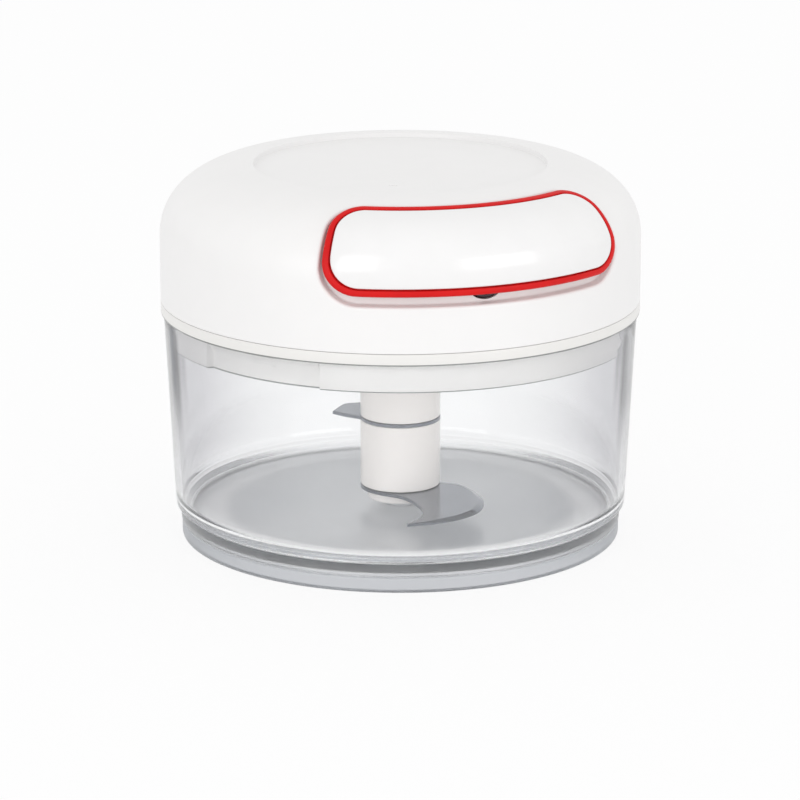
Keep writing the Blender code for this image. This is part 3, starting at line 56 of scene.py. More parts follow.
TUBE_REACH = 0.6
SEAL_PLAY = 0.0001
OUTLET_HEIGHT = 0.0844
CUT = 0.001  # how far a cutting tool stands past a face
CROSS_HALVES = (0.0019, 0.00035)  # a screw slot's half length and half width

Array = np.ndarray
Colour = tuple[float, float, float]
Material = bpy.types.Material
Node = bpy.types.Node
Piece = bpy.types.Object
Socket = bpy.types.NodeSocket


class Body(Enum):
    """The CAD bodies that pieces ride on."""

    BOWL = "bowl"
    SEAL = "seal"
    LID = "lid"
    REEL = "reel"
    SPINDLE = "spindle"
    BLADES = "blades"
    HANDLE = "handle"


class Slot(Enum):
    """The material slots that the finishes name."""

    CLEAR = "clear_plastic"
    SOFT_CLEAR = "soft_clear"
    STEEL = "steel"
    WHITE = "white_plastic"
    GLOSS = "white_gloss"
    SOFT_WHITE = "soft_white"
    RED = "red_soft"
    DARK = "dark_plastic"
    GREY = "grey_plastic"
    NATURAL = "natural_plastic"
    CORD = "cord"


# Materials


class Wiring:
    """A node tree while it is being wired."""

    def __init__(self, tree: bpy.types.NodeTree) -> None:
        """Take a tree."""
        self.tree = tree

    def feed(self, target: Socket, value: object) -> None:
        """Link a socket, or set a plain value, on an input.

        Args:
            target: the input.
            value: the socket or the value.
        """
        if isinstance(value, Socket):
            self.tree.links.new(value, target)
        else:
            target.default_value = value

    def add(self, kind: str, inputs: dict | None = None, **settings: object) -> Node:
        """Return a new node.

        Args:
            kind: the node's type.
            inputs: a socket or a plain value for each input, by its name or number.
            settings: values of the node's properties.

        Returns:
            The node.
        """
        node = self.tree.nodes.new(kind)
        for key, value in settings.items():
            setattr(node, key, value)
        for key, value in (inputs or {}).items():
            self.feed(node.inputs[key], value)
        return node

    def mixed(self, share: Socket, first: Node, second: Node, out: Node) -> None:
        """Send a mix of two shader nodes to an output node."""
        mix = self.add("ShaderNodeMixShader", {0: share, 1: first.outputs[0], 2: second.outputs[0]})
        self.feed(out.inputs["Surface"], mix.outputs["Shader"])

    def rays(self, shares: tuple) -> Socket:
        """Return the sum of shares for camera, glossy and transmission rays.

        Args:
            shares: how much each of the three kinds of ray counts.

        Returns:
            The socket that holds the sum.
        """
        path = self.add("ShaderNodeLightPath").outputs
        total = 0.0
        for name, share in zip(("Is Camera Ray", "Is Glossy Ray", "Is Transmission Ray"), shares):
            inputs = {0: path[name], 1: share, 2: total}
            total = self.add("ShaderNodeMath", inputs, operation="MULTIPLY_ADD").outputs["Value"]
        return total


class Graph(Wiring):
    """A material's node tree, from its Principled shader to its output."""

    def __init__(self, name: str) -> None:
        """Start a material.

        Args:
            name: the material's name.
        """
        self.material = bpy.data.materials.new(name)
        self.material.use_nodes = True
        super().__init__(self.material.node_tree)
        self.shader = self.tree.nodes["Principled BSDF"]
        self.output = self.tree.nodes["Material Output"]
        self.place = self.add("ShaderNodeTexCoord").outputs["Object"]

    @cached_property
    def axes(self) -> bpy.types.bpy_prop_collection:
        """Return the three Object coordinates, by name."""
        return self.add("ShaderNodeSeparateXYZ", {"Vector": self.place}).outputs

    def set(self, **values: object) -> None:
        """Set the shader's inputs, with underscores for the spaces in their names."""
        for key, value in values.items():
            self.feed(self.shader.inputs[key.replace("_", " ")], value)

    def noise(self, scale: float, detail: float = 3.0, stretch: tuple = (1.0, 1.0, 1.0)) -> Socket:
        """Return a noise value on Object coordinates.

        Args:
            scale: features per metre.
            detail: octaves.
            stretch: factors on the three axes, larger for finer features.

        Returns:
            The socket that holds the noise.
        """
        mapping = self.add("ShaderNodeMapping", {"Scale": stretch, "Vector": self.place})
        inputs = {"Vector": mapping.outputs["Vector"], "Scale": scale, "Detail": detail}
        return self.add("ShaderNodeTexNoise", inputs).outputs["Fac"]

    def ease(self, value: object, low: float, high: float, start: float = 0.0, end: float = 1.0) -> Socket:
        """Return the smooth step from start to end that a value makes between low and high."""
        inputs = {"Value": value, "From Min": low, "From Max": high, "To Min": start, "To Max": end}
        return self.add("ShaderNodeMapRange", inputs, interpolation_type="SMOOTHSTEP").outputs["Result"]

    def spread(self, value: Socket, start: float, end: float) -> Socket:
        """Return noise eased from its usual middle range to start and end."""
        return self.ease(value, *NOISE_MIDDLE, start, end)

    def maths(self, kind: str, first: object, second: object = 0.0) -> Socket:
        """Return the result of a Math node."""
        return self.add("ShaderNodeMath", {0: first, 1: second}, operation=kind).outputs["Value"]

    def product(self, first: Socket, *others: object) -> Socket:
        """Return the product of sockets and numbers."""
        for other in others:
            first = self.maths("MULTIPLY", first, other)
        return first

    def blend(self, share: object, first: object, second: object) -> Socket:
        """Return a mix of two colours, each a socket or three numbers."""
        first, second = ((*c, 1.0) if isinstance(c, tuple) else c for c in (first, second))
        return self.add("ShaderNodeMix", {"Factor": share, 6: first, 7: second}, data_type="RGBA").outputs[2]

    def relief(self, height: Socket, strength: float, depth: float) -> None:
        """Bump the shader's normal by a height in steps of depth."""
        node = self.add("ShaderNodeBump", {"Strength": strength, "Distance": depth, "Height": height})
        self.set(Normal=node.outputs["Normal"])


@dataclass(frozen=True)
class Moulded:
    """Opaque moulded plastic or rubber: a faint cloudiness, a fine moulded grain and rubbed patches.

    Below the height of each band, in order, the band's colour takes over: painted shade and painted light by
    height.
    """

    name: str
    slot: Slot
    colour: Colour
    cloud: Colour
    roughness: tuple[float, float]
    grain: float = 2600.0
    grain_strength: float = 0.08
    ripple_strength: float = 0.0
    coat: float = 0.0
    specular: float = 0.5
    painted_light_bands: tuple[tuple[float, Colour], ...] = ()
    cloud_scale: float = 140.0
    patch_scale: float = 45.0
    ripple_scale: float = 75.0

    def material(self) -> Material:
        """Return the finish's node material.

        Returns:
            The material.
        """
        graph = Graph(self.name)
        colour = graph.blend(graph.spread(graph.noise(self.cloud_scale), 0.0, 1.0), self.colour, self.cloud)
        # Painted shade and painted light in bands of height: below each band's top its colour takes over.
        for top, shade in self.painted_light_bands:
            colour = graph.blend(graph.maths("LESS_THAN", graph.axes["Z"], top), colour, shade)
        patches = graph.spread(graph.noise(self.patch_scale, 1.0), *self.roughness)
        graph.set(Base_Color=colour, Roughness=patches, IOR=1.5, Specular_IOR_Level=self.specular)
        graph.set(Coat_Weight=self.coat, Coat_Roughness=0.06)
        grain = graph.noise(self.grain, 2.0)
        if self.ripple_strength:
            slow = graph.product(graph.noise(self.ripple_scale, 1.0), self.ripple_strength)
            grain = graph.maths("ADD", graph.product(grain, self.grain_strength), slow)
            graph.relief(grain, 1.0, 0.0004)
        else:
            graph.relief(grain, self.grain_strength, 0.0002)
        return graph.material


@dataclass(frozen=True)
class ClearPlastic:
    """Clear moulded plastic: light passes with a faint tint, long paths through it turn blue-grey."""

    # Besides its real tint and absorption, the colour carries painted shade: greying and dark streaks
    # edge-on, and a grey disc under the floor.
    name: str
    slot: Slot
    tint: Colour
    aslant_tint_and_shade: Colour
    painted_streak_shade: Colour
    painted_floor_shade: Colour
    depth_tint: Colour
    density: float
    roughness: tuple[float, float]
    ripple: float
    shade: Colour
    clarity: float = 0.97
    frost: float = 0.30
    frost_top: float = 0.0079
    flow: float = 38.0
    wall: tuple[float, float] = (0.009, 0.018)
    aslant: tuple[float, float] = (0.08, 0.66)
    streak_inner: tuple[float, float] = (0.67, 0.73)
    streak_outer: tuple[float, float] = (0.96, 0.90)
    streak_height: tuple[float, float] = (0.020, 0.046)
    streak_noise: tuple = (120.0, 4.0, (1.0, 1.0, 0.15))
    streak_breaks: tuple[float, float] = (0.62, 1.0)
    floor_top: float = 0.0062
    floor_edge: tuple[float, float] = (0.0513, 0.0453)
    floor_noise: tuple = (30.0, 2.0)
    floor_cloud: tuple[float, float] = (0.80, 1.0)
    polish_noise: tuple = (90.0, 5.0)

    def colour(self, graph: Graph) -> Socket:
        """Return the tint.

        The wall greys as it turns edge-on, partly for the longer path through it and partly as painted
        shade, with dark streaks of painted shade in its upper part where it is all but edge-on, and the
        floor's underside is a cloudy grey disc of painted shade for the shaded table seen through it.

        Args:
            graph: the material's graph.

        Returns:
            The socket that holds the colour.
        """
        turn = graph.add("ShaderNodeLayerWeight", {"Blend": 0.5}).outputs["Facing"]
        x, y, z = graph.axes
        # Edge-on greying: partly the longer path through the wall, partly painted shade.
        aslant = graph.product(graph.ease(turn, *self.aslant), graph.ease(z, *self.wall))
        side = graph.blend(aslant, self.tint, self.aslant_tint_and_shade)
        # Dark streaks where the wall is all but edge-on, broken by noise: painted shade.
        band = graph.product(graph.ease(turn, *self.streak_inner), graph.ease(turn, *self.streak_outer))
        broken = graph.spread(graph.noise(*self.streak_noise), *self.streak_breaks)
        streak = graph.product(band, broken, graph.ease(z, *self.streak_height))
        side = graph.blend(streak, side, self.painted_streak_shade)
        # A cloudy grey disc under the floor: painted shade for the shaded table seen through the floor.
        squares = graph.maths("ADD", graph.maths("POWER", x, 2.0), graph.maths("POWER", y, 2.0))
        inside = graph.ease(graph.maths("SQRT", squares), *self.floor_edge)
        below = graph.maths("LESS_THAN", z, self.floor_top)
        cloud = graph.spread(graph.noise(*self.floor_noise), *self.floor_cloud)
        return graph.blend(graph.product(inside, below, cloud), side, self.painted_floor_shade)

    def material(self) -> Material:
        """Return the finish's node material, which lets the lamps' rays through as a thin wall does.

        Returns:
            The material.
        """
        graph = Graph(self.name)
        frosted = graph.product(graph.maths("LESS_THAN", graph.axes["Z"], self.frost_top), self.frost)
        polished = graph.spread(graph.noise(*self.polish_noise), *self.roughness)
        graph.set(Base_Color=self.colour(graph), Roughness=graph.maths("MAXIMUM", frosted, polished))
        graph.set(IOR=1.52, Transmission_Weight=self.clarity)
        graph.relief(graph.noise(self.flow, 2.0, (1.0, 1.0, 0.35)), self.ripple, 0.0008)
        shadow = graph.add("ShaderNodeLightPath").outputs["Is Shadow Ray"]
        clear = graph.add("ShaderNodeBsdfTransparent", {"Color": (*self.shade, 1.0)})
        graph.mixed(shadow, graph.shader, clear, graph.output)
        inputs = {"Color": (*self.depth_tint, 1.0), "Density": self.density}
        body = graph.add("ShaderNodeVolumeAbsorption", inputs)
        graph.feed(graph.output.inputs["Volume"], body.outputs["Volume"])
        return graph.material


@dataclass(frozen=True)
class Steel:
    """Bright steel: fine rolling lines along one axis and a cloudy polish."""

    name: str
    slot: Slot
    colour: Colour
    cloud: Colour
    roughness: tuple[float, float]
    stretch: tuple[float, float, float] = (1.0, 14.0, 1.0)
    line_scale: float = 420.0
    cloud_scale: float = 70.0

    def material(self) -> Material:
        """Return the finish's node material.

        Returns:
            The material.
        """
        graph = Graph(self.name)
        lines = graph.noise(self.line_scale, 4.0, self.stretch)
        colour = graph.blend(graph.spread(graph.noise(self.cloud_scale), 0.0, 1.0), self.colour, self.cloud)
        graph.set(Base_Color=colour, Roughness=graph.spread(lines, *self.roughness), Metallic=1.0)
        graph.relief(lines, 0.10, 0.0001)
        return graph.material


@dataclass(frozen=True)
class Braid:
    """Braided cord: strands cross in both directions along the piece's UV map."""

    name: str
    slot: Slot
    colour: Colour
    fleck: Colour
    strands: int = 6

    def material(self) -> Material:
        """Return the finish's node material: height |sin| of two opposite diagonals, the larger on top.

        Returns:
            The material.
        """
        graph = Graph(self.name)
        uv = graph.add("ShaderNodeUVMap", uv_map=CORD_UV).outputs["UV"]
        u, v, _ = graph.add("ShaderNodeSeparateXYZ", {"Vector": uv}).outputs
        along, around = graph.product(u, TAU), graph.product(v, TAU * self.strands / 2)
        slants = (graph.maths(kind, around, along) for kind in ("ADD", "SUBTRACT"))
        height = graph.maths("MAXIMUM", *(graph.maths("ABSOLUTE", graph.maths("SINE", s)) for s in slants))
        graph.set(Base_Color=graph.blend(height, self.fleck, self.colour), Sheen_Weight=0.25)
        graph.set(Roughness=graph.spread(graph.noise(900.0), 0.75, 0.92))
        graph.relief(height, 0.7, 0.0003)
        return graph.material


Finish = Moulded | ClearPlastic | Steel | Braid

LID_WHITE = Moulded(
    "satin_white", Slot.WHITE, (0.806, 0.799, 0.794), (0.800, 0.793, 0.788), (0.30, 0.325), 2200.0, 0.05
)
# Painted shade and painted light: this white is darker than the cover's to tone down the flange where the
# lamps fall most. Its bands paint a shadow line under the flange and paint the skirt lighter to make up for
# the light that the clear bowl keeps from it. They also paint a shade line along the skirt's lower edge.
BASE_WHITE = Moulded(
    "base_white", Slot.WHITE, (0.755, 0.745, 0.725), (0.748, 0.738, 0.718), (0.30, 0.325), 2200.0, 0.05,
    painted_light_bands=((0.06285, (0.24, 0.25, 0.24)), (0.0624, (0.940, 0.930, 0.910)), (0.0551, (0.28, 0.29, 0.28))),
)
HANDLE_WHITE = Moulded(
    "glossy_white", Slot.GLOSS, (0.795, 0.790, 0.788), (0.787, 0.782, 0.780), (0.14, 0.20), 1800.0, 0.02,
    ripple_strength=0.03, coat=0.35,
)
# Painted light: the column's white is lighter than the lid's to make up for the light that the lid and the
# bowl keep from the column.
COLUMN_WHITE = Moulded(
    "column_white", Slot.GLOSS, (0.960, 0.920, 0.890), (0.948, 0.908, 0.878), (0.20, 0.28), 1800.0, 0.03,
    ripple_strength=0.04,
)
SEAL_WHITE = Moulded(
    "matt_white", Slot.SOFT_WHITE, (0.80, 0.80, 0.78), (0.75, 0.75, 0.73), (0.55, 0.68), 1500.0, 0.2
)
RIM_RED = Moulded(
    "soft_red", Slot.RED, (0.63, 0.003, 0.003), (0.57, 0.002, 0.003), (0.38, 0.50), 1700.0, 0.12,
    specular=0.22,
)
OUTLET_DARK = Moulded("dark_satin", Slot.DARK, (0.035, 0.012, 0.016), (0.022, 0.012, 0.018), (0.30, 0.42))
REEL_GREY = Moulded("reel_grey", Slot.GREY, (0.52, 0.53, 0.55), (0.46, 0.47, 0.49), (0.34, 0.46))
BEARING_NATURAL = Moulded(
    "bearing_natural", Slot.NATURAL, (0.80, 0.78, 0.71), (0.74, 0.72, 0.66), (0.32, 0.44)
)
# Its edge-on grey is partly painted shade; its near-black streak colour and its grey floor colour are
# painted shade.
BOWL_CLEAR = ClearPlastic(
    "clear_bowl", Slot.CLEAR, (0.995, 0.996, 0.998), (0.66, 0.655, 0.68), (0.004, 0.006, 0.011),
    (0.260, 0.280, 0.310), (0.50, 0.58, 0.66), 14.0, (0.0, 0.03), 0.04, (0.99, 0.99, 0.992),
)
RING_CLEAR = ClearPlastic(
    "foggy_ring", Slot.SOFT_CLEAR, (0.66, 0.665, 0.685), (0.70, 0.71, 0.74), (0.62, 0.64, 0.68),
    (0.66, 0.665, 0.685), (0.45, 0.52, 0.58), 60.0, (0.16, 0.30), 0.25, (0.80, 0.81, 0.83), flow=120.0,
)
# Painted shade: the steel's colour is set much darker than bright steel, standing in for the dark
# reflections of the shaded lid underside.
BLADE_STEEL = Steel("blade_steel", Slot.STEEL, (0.215, 0.232, 0.266), (0.186, 0.201, 0.232), (0.08, 0.18))
PIN_STEEL = Steel(
    "turned_steel", Slot.STEEL, (0.66, 0.67, 0.68), (0.60, 0.61, 0.63), (0.16, 0.26), (1.0, 1.0, 16.0)
)
SPRING_STEEL = Steel(
    "spring_steel", Slot.STEEL, (0.42, 0.43, 0.47), (0.34, 0.36, 0.42), (0.22, 0.34), (1.0, 1.0, 16.0)
)
CORD_BRAID = Braid("grey_braid", Slot.CORD, (0.76, 0.75, 0.73), (0.52, 0.51, 0.50))


# Surfaces


@dataclass
class Sheet:
    """A grid of points, rows by columns by three.

    ring_rows and ring_columns say that the last row or column is followed by the first. open_cells
    marks cells that get no face.
    """

    points: Array
    ring_rows: bool = False
    ring_columns: bool = True
    open_cells: Array | None = None

    def faces(self, first: int) -> Array:
        """Return the grid's faces as four point numbers each, counted from first.

        Args:
            first: the number of the grid's first point.

        Returns:
            A row of four numbers for each face.
        """
        rows, columns = self.points.shape[:2]
        numbers = first + np.arange(rows * columns).reshape(rows, columns)
        low = numbers if self.ring_rows else numbers[:-1]
        high = np.roll(numbers, -1, 0)[: len(low)]
        quads = np.stack([low, np.roll(low, -1, 1), np.roll(high, -1, 1), high], axis=-1)
        if not self.ring_columns:
            quads = quads[:, :-1]
        if self.open_cells is not None:
            quads = quads[~self.open_cells]
        return quads.reshape(-1, 4)


def polish(mesh: bpy.types.Mesh, sharp: float = SHARP_ANGLE) -> None:
    """Merge seams and poles, turn the faces outwards, and shade smooth but for sharp edges.

    Args:
        mesh: the mesh.
        sharp: the angle from which an edge counts as sharp.
    """
    shape = bmesh.new()
    shape.from_mesh(mesh)
    bmesh.ops.remove_doubles(shape, verts=shape.verts, dist=SAME_POINT)
    bmesh.ops.recalc_face_normals(shape, faces=shape.faces)
    shape.to_mesh(mesh)
    shape.free()
    mesh.shade_smooth()
    mesh.set_sharp_from_angle(angle=sharp)


def linked(name: str, data: object) -> Piece:
    """Return a new object of this name and data, linked to the scene."""
    thing = bpy.data.objects.new(name, data)
    bpy.context.scene.collection.objects.link(thing)
    return thing


def solid(name: str, *sheets: Sheet) -> Piece:
    """Return an object made of one closed body from its sheets.

    Args:
        name: the piece's name.
        sheets: grids that meet at their borders.

    Returns:
        The piece.
    """
    faces = []
    count = 0
    for sheet in sheets:
        faces.append(sheet.faces(count))
        count += sheet.points.shape[0] * sheet.points.shape[1]
    points = np.concatenate([sheet.points.reshape(-1, 3) for sheet in sheets])
    mesh = bpy.data.meshes.new(name)
    mesh.from_pydata(points.tolist(), [], np.concatenate(faces).tolist())
    polish(mesh)
    return linked(name, mesh)


def joined(piece: Piece, tool: Piece, kind: str = "DIFFERENCE") -> None:
    """Cut a tool body out of a piece, or add it, and drop the tool.

    Args:
        piece: the piece.
        tool: the body to cut out or add.
        kind: DIFFERENCE or UNION.
    """
    step = piece.modifiers.new("step", "BOOLEAN")
    step.object = tool
    step.operation = kind
    step.solver = "EXACT"
    bpy.context.view_layer.update()
    result = piece.evaluated_get(bpy.context.evaluated_depsgraph_get())
    mesh = bpy.data.meshes.new_from_object(result)
    piece.modifiers.clear()
    piece.data = mesh
    mesh.name = piece.name
    bpy.data.objects.remove(tool)
    polish(mesh)


def smoothstep(share: Array) -> Array:
    """Return 3s2 - 2s3 of a share held between 0 and 1."""
    held = np.clip(share, 0.0, 1.0)
    return held * held * (3.0 - 2.0 * held)


def rounded(corners: list[tuple], closed: bool = True, steps: int = 6) -> Array:
    """Return an outline whose corners are arcs tangent to their two sides.

    Args:
        corners: (x, y) or (x, y, radius) for each corner.
        closed: whether the last corner joins the first; else both ends stay sharp.
        steps: pieces in each arc.

    Returns:
        The outline's points.
    """
    points = []
    count = len(corners)
    for i, (x, y, *extra) in enumerate(corners):
        here = np.array([x, y])
        radius = extra[0] if extra else 0.0
        if radius == 0.0 or (not closed and i in (0, count - 1)):
            points.append(here)
            continue
        before = np.array(corners[i - 1][:2]) - here
        after = np.array(corners[(i + 1) % count][:2]) - here
        before = before / np.linalg.norm(before)
        after = after / np.linalg.norm(after)
        half = math.acos(float(np.clip(before @ after, -1.0, 1.0))) / 2
        middle = before + after
        centre = here + middle / np.linalg.norm(middle) * radius / math.sin(half)
        start = here + before * radius / math.tan(half) - centre
        end = here + after * radius / math.tan(half) - centre
        turn = math.pi - 2 * half
        share = np.linspace(0.0, 1.0, steps + 1)[:, None]
        arc = (np.sin((1 - share) * turn) * start + np.sin(share * turn) * end) / math.sin(turn)
        points.extend(centre + arc)
    return np.array(points)


def dense(outline: Array, spacing: float, closed: bool = True) -> Array:
    """Return an outline with straight stretches split so that no step is over a spacing.

    Args:
        outline: the outline's points.
        spacing: the longest step.
        closed: whether the last point joins the first.

    Returns:
        The outline's points, old and new.
    """
    ends = np.vstack([outline, outline[:1]]) if closed else outline
    lengths = np.linalg.norm(np.diff(ends, axis=0), axis=1)
    pieces = []
    for start, end, length in zip(ends[:-1], ends[1:], lengths):
        count = max(1, math.ceil(length / spacing))
        pieces.append(start + (end - start) * (np.arange(count) / count)[:, None])
    if not closed:
        pieces.append(ends[-1:])
    return np.concatenate(pieces)


def around(steps: int = 192, marks: tuple = (), soft: float = 0.004) -> Array:
    """Return azimuths for a turned body, with extra ones within soft of each mark.

    Args:
        steps: evenly spaced azimuths.
        marks: azimuths that need finer steps round them.
        soft: how far those reach to either side.

    Returns:
        The azimuths in order.
    """
    angles = np.linspace(-math.pi, math.pi, steps, endpoint=False)
    if marks:
        near = np.array(marks)[:, None] + soft * np.linspace(-1.0, 1.0, 5)[None]
        near = (near.ravel() + math.pi) % TAU - math.pi
        angles = angles[np.abs(angles[:, None] - near[None]).min(1) > 0.3 * soft]
        angles = np.concatenate([angles, near])
    return np.unique(angles)


def polar(radius: Array, azimuth: Array, height: Array) -> Array:
    """Return points x = r sin a, y = -r cos a and z."""
    places = np.broadcast_arrays(radius * np.sin(azimuth), -radius * np.cos(azimuth), height)
    return np.stack(places, axis=-1)


def turned(outline: Array, azimuths: Array, radius: Array | None = None) -> Array:
    """Return a turned grid, a row for each point of the outline.

    Args:
        outline: (radius, height) rows.
        azimuths: the columns' azimuths.
        radius: radii for every row and column, in place of the outline's own.

    Returns:
        The grid of points.
    """
    return polar(outline[:, :1] if radius is None else radius, azimuths, outline[:, 1:2])


def sleeve(inner: float, outer: float, low: float, high: float, *easing: float) -> list[tuple]:
    """Return the corners of a sleeve's section, from inner low to outer low, outer high and inner high."""
    return list(zip((inner, outer, outer, inner), (low, low, high, high), easing))


def lathe(
    name: str, corners: list[tuple], columns: int, spacing: float = 1.0, closed: bool = True, steps: int = 6
) -> Piece:
    """Return a turned piece from the corners of its section.

    Args:
        name: the piece's name.
        corners: (radius, height) or (radius, height, rounding) for each corner.
        columns: points round the axis.
        spacing: the longest step on a straight stretch.
        closed: whether the section closes on itself; else its ends lie on the axis.
        steps: pieces in each rounding.

    Returns:
        The piece.
    """
    outline = dense(rounded(corners, closed, steps), spacing, closed)
    return solid(name, Sheet(turned(outline, around(columns)), ring_rows=closed))


def window(values: Array, centre: float, half: float, soft: float, wrap: bool = False) -> Array:
    """Return 1 within half of a centre, easing to 0 over soft on either side of that limit.

    Args:
        values: where to work it out.
        centre: the window's middle.
        half: half its width.
        soft: how far it eases.
        wrap: whether values are azimuths.

    Returns:
        A share for each value.
    """
    away = values - centre
    if wrap:
        away = (away + math.pi) % TAU - math.pi
    return smoothstep((half + soft - np.abs(away)) / (2 * soft))


def gated(centres: tuple, half: float, soft: float) -> tuple[Array, Array]:
    """Return azimuths with extra ones at the edges of windows round the centres, and those windows' sum."""
    azimuths = around(240, tuple(centre + side * half for centre in centres for side in (-1, 1)), soft)
    return azimuths, sum(window(azimuths, centre, half, soft, wrap=True) for centre in centres)


def hexagon(azimuths: Array, turn: float) -> Array:
    """Return a unit hexagon's radius at each azimuth: cos 30 over the cosine of the angle to its flat."""
    away = (azimuths - turn) % (math.pi / 3) - math.pi / 6
    return math.cos(math.pi / 6) / np.cos(away)


def keyed(table: Array, azimuths: Array, turn: float) -> Array:
    """Return radii for (radius, height, key) rows: those with a key take a hexagon's radius."""
    return table[:, :1] * np.where(table[:, 2:3] > 0, hexagon(azimuths, turn)[None], 1.0)


def along_y(points: Array, height: float) -> Array:
    """Lay a body turned about +Z along -Y, at a height: its z becomes the way out of the lid."""
    return np.stack([points[..., 0], -points[..., 2], points[..., 1] + height], axis=-1)


def shifted(points: Array, x: float, y: float, z: float = 0.0) -> Array:
    """Move a grid."""
    return points + np.array([x, y, z])


def rotation(turn: float) -> Array:
    """Return the matrix that turns rows of x and y about +Z."""
    return np.array([[math.cos(turn), math.sin(turn)], [-math.sin(turn), math.cos(turn)]])


def tube(name: str, path: Array, radius: float, sides: int = 14) -> Piece:
    """Return a round tube with domed ends, and a UV map of length over a braid's pitch and share around.

    Each ring is centre + r (cos b side + sin b up), where side is level and square to the path.

    Args:
        name: the piece's name.
        path: the points that it follows.
        radius: the tube's radius.
        sides: points round it.

    Returns:
        The tube.
    """
    tangent = np.gradient(path, axis=0)
    tangent /= np.linalg.norm(tangent, axis=1)[:, None]
    side = np.cross(tangent, np.array([0.0, 0.0, 1.0]))
    side /= np.linalg.norm(side, axis=1)[:, None]
    up = np.cross(side, tangent)
    first = path[0] - TUBE_END[:, 1:] * TUBE_REACH * radius * tangent[0]
    last = path[-1] + TUBE_END[::-1, 1:] * TUBE_REACH * radius * tangent[-1]
    size = np.concatenate([TUBE_END[:, 0], np.ones(len(path)), TUBE_END[::-1, 0]]) * radius
    centre = np.concatenate([first, path, last])
    side, up = (np.concatenate([rows[:1]] * 3 + [rows] + [rows[-1:]] * 3) for rows in (side, up))
    turn = np.linspace(0.0, TAU, sides, endpoint=False)[None, :, None]
    spread = np.cos(turn) * side[:, None] + np.sin(turn) * up[:, None]
    piece = solid(name, Sheet(centre[:, None] + size[:, None, None] * spread))
    lengths = np.concatenate([[0.0], np.cumsum(np.linalg.norm(np.diff(centre, axis=0), axis=1))])
    mesh = piece.data
    places = np.empty(len(mesh.vertices) * 3)
    mesh.vertices.foreach_get("co", places)
    places = places.reshape(-1, 3)
    corners = np.empty(len(mesh.loops), dtype=np.int32)
    mesh.loops.foreach_get("vertex_index", corners)
    nearest = nearest_row(places, centre)
    offset = places - centre[nearest]
    share = np.arctan2((offset * up[nearest]).sum(1), (offset * side[nearest]).sum(1)) / TAU
    flat = np.stack([lengths[nearest] / (BRAID_PITCH * radius), share], axis=-1)[corners]
    mesh.uv_layers.new(name=CORD_UV).data.foreach_set("uv", flat.astype(np.float32).ravel())
    return piece


def nearest_row(places: Array, centre: Array) -> Array:
    """Return the number of the path point nearest to each place: the least |c|2 - 2 p.c."""
    return np.argmin((centre**2).sum(1)[None] - 2.0 * places @ centre.T, axis=1)


def finish_piece(piece: Piece, look: Finish, body: Body, *nodes: str) -> None:
    """Dress a new piece, put it on its body and in place of its CAD nodes, and report it.

    Args:
        piece: the new piece.
        look: its finish.
        body: the CAD body that it rides on.
        nodes: the CAD nodes that it stands for.
    """
    dress(piece, look)
    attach(piece, body.value)
    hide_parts(*nodes)
    LOG.info("%s: %d faces on %s", piece.name, len(piece.data.polygons), body.value)


def dress(piece: Piece, look: Finish) -> None:
    """Give a piece a finish, whose material is made once."""
    piece.data.materials.clear()
    piece.data.materials.append(bpy.data.materials.get(look.name) or look.material())


def dress_node(node: str, look: Finish) -> None:
    """Give a kept CAD node a finish."""
    dress(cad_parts[node], look)
    LOG.info("%s: CAD node kept", node)


# The dome that cover, pocket and handle share


@dataclass(frozen=True)
class Dome:
    """The lid's outer surface: a straight wall, then a superellipse from the shoulder to the crown."""

    wall_radius: float = 0.0650
    crown_radius: float = 0.0404
    shoulder: float = 0.0822
    rise: float = 0.0203
    fullness: float = 0.85
    mean_radius: float = 0.0620

    def section(self, angle: Array) -> tuple[Array, Array, Array, Array]:
        """Work out the meridian.

        r = crown + (wall - crown) cos a and z = shoulder + rise sin(a)^fullness; the normal is square to
        the derivative of both.

        Args:
            angle: the superellipse's angle a, 0 at the shoulder.

        Returns:
            Radius, height, and the normal's outward and upward parts.
        """
        span = self.wall_radius - self.crown_radius
        radius = self.crown_radius + span * np.cos(angle)
        height = self.shoulder + self.rise * np.sin(angle) ** self.fullness
        outward = self.rise * self.fullness * np.cos(angle)
        upward = span * np.sin(angle) ** (2.0 - self.fullness)
        length = np.hypot(outward, upward)
        return radius, height, outward / length, upward / length

    def arc(self) -> tuple[Array, Array]:
        """Return angles and the meridian's length from the shoulder to each of them.

        Returns:
            Both rows of numbers.
        """
        angles = np.linspace(0.0, math.pi / 2, 900)
        radius, height = self.section(angles)[:2]
        lengths = np.concatenate([[0.0], np.cumsum(np.hypot(np.diff(radius), np.diff(height)))])
        return angles, lengths

    def meridian(self, up: Array, proud: Array) -> tuple[Array, Array]:
        """Return radius and height at a length up the meridian and a distance proud of it."""
        angles, lengths = self.arc()
        radius, height, outward, upward = self.section(np.interp(up, lengths, angles))
        return radius + proud * outward, height + np.minimum(up, 0.0) + proud * upward

    def place(self, along: Array, up: Array, proud: Array) -> Array:
        """Return points for lengths along and up the lid: the azimuth is along / mean radius."""
        along, up, proud = np.broadcast_arrays(along, up, proud)
        radius, height = self.meridian(up, proud)
        return polar(radius, along / self.mean_radius, height)


DOME = Dome()


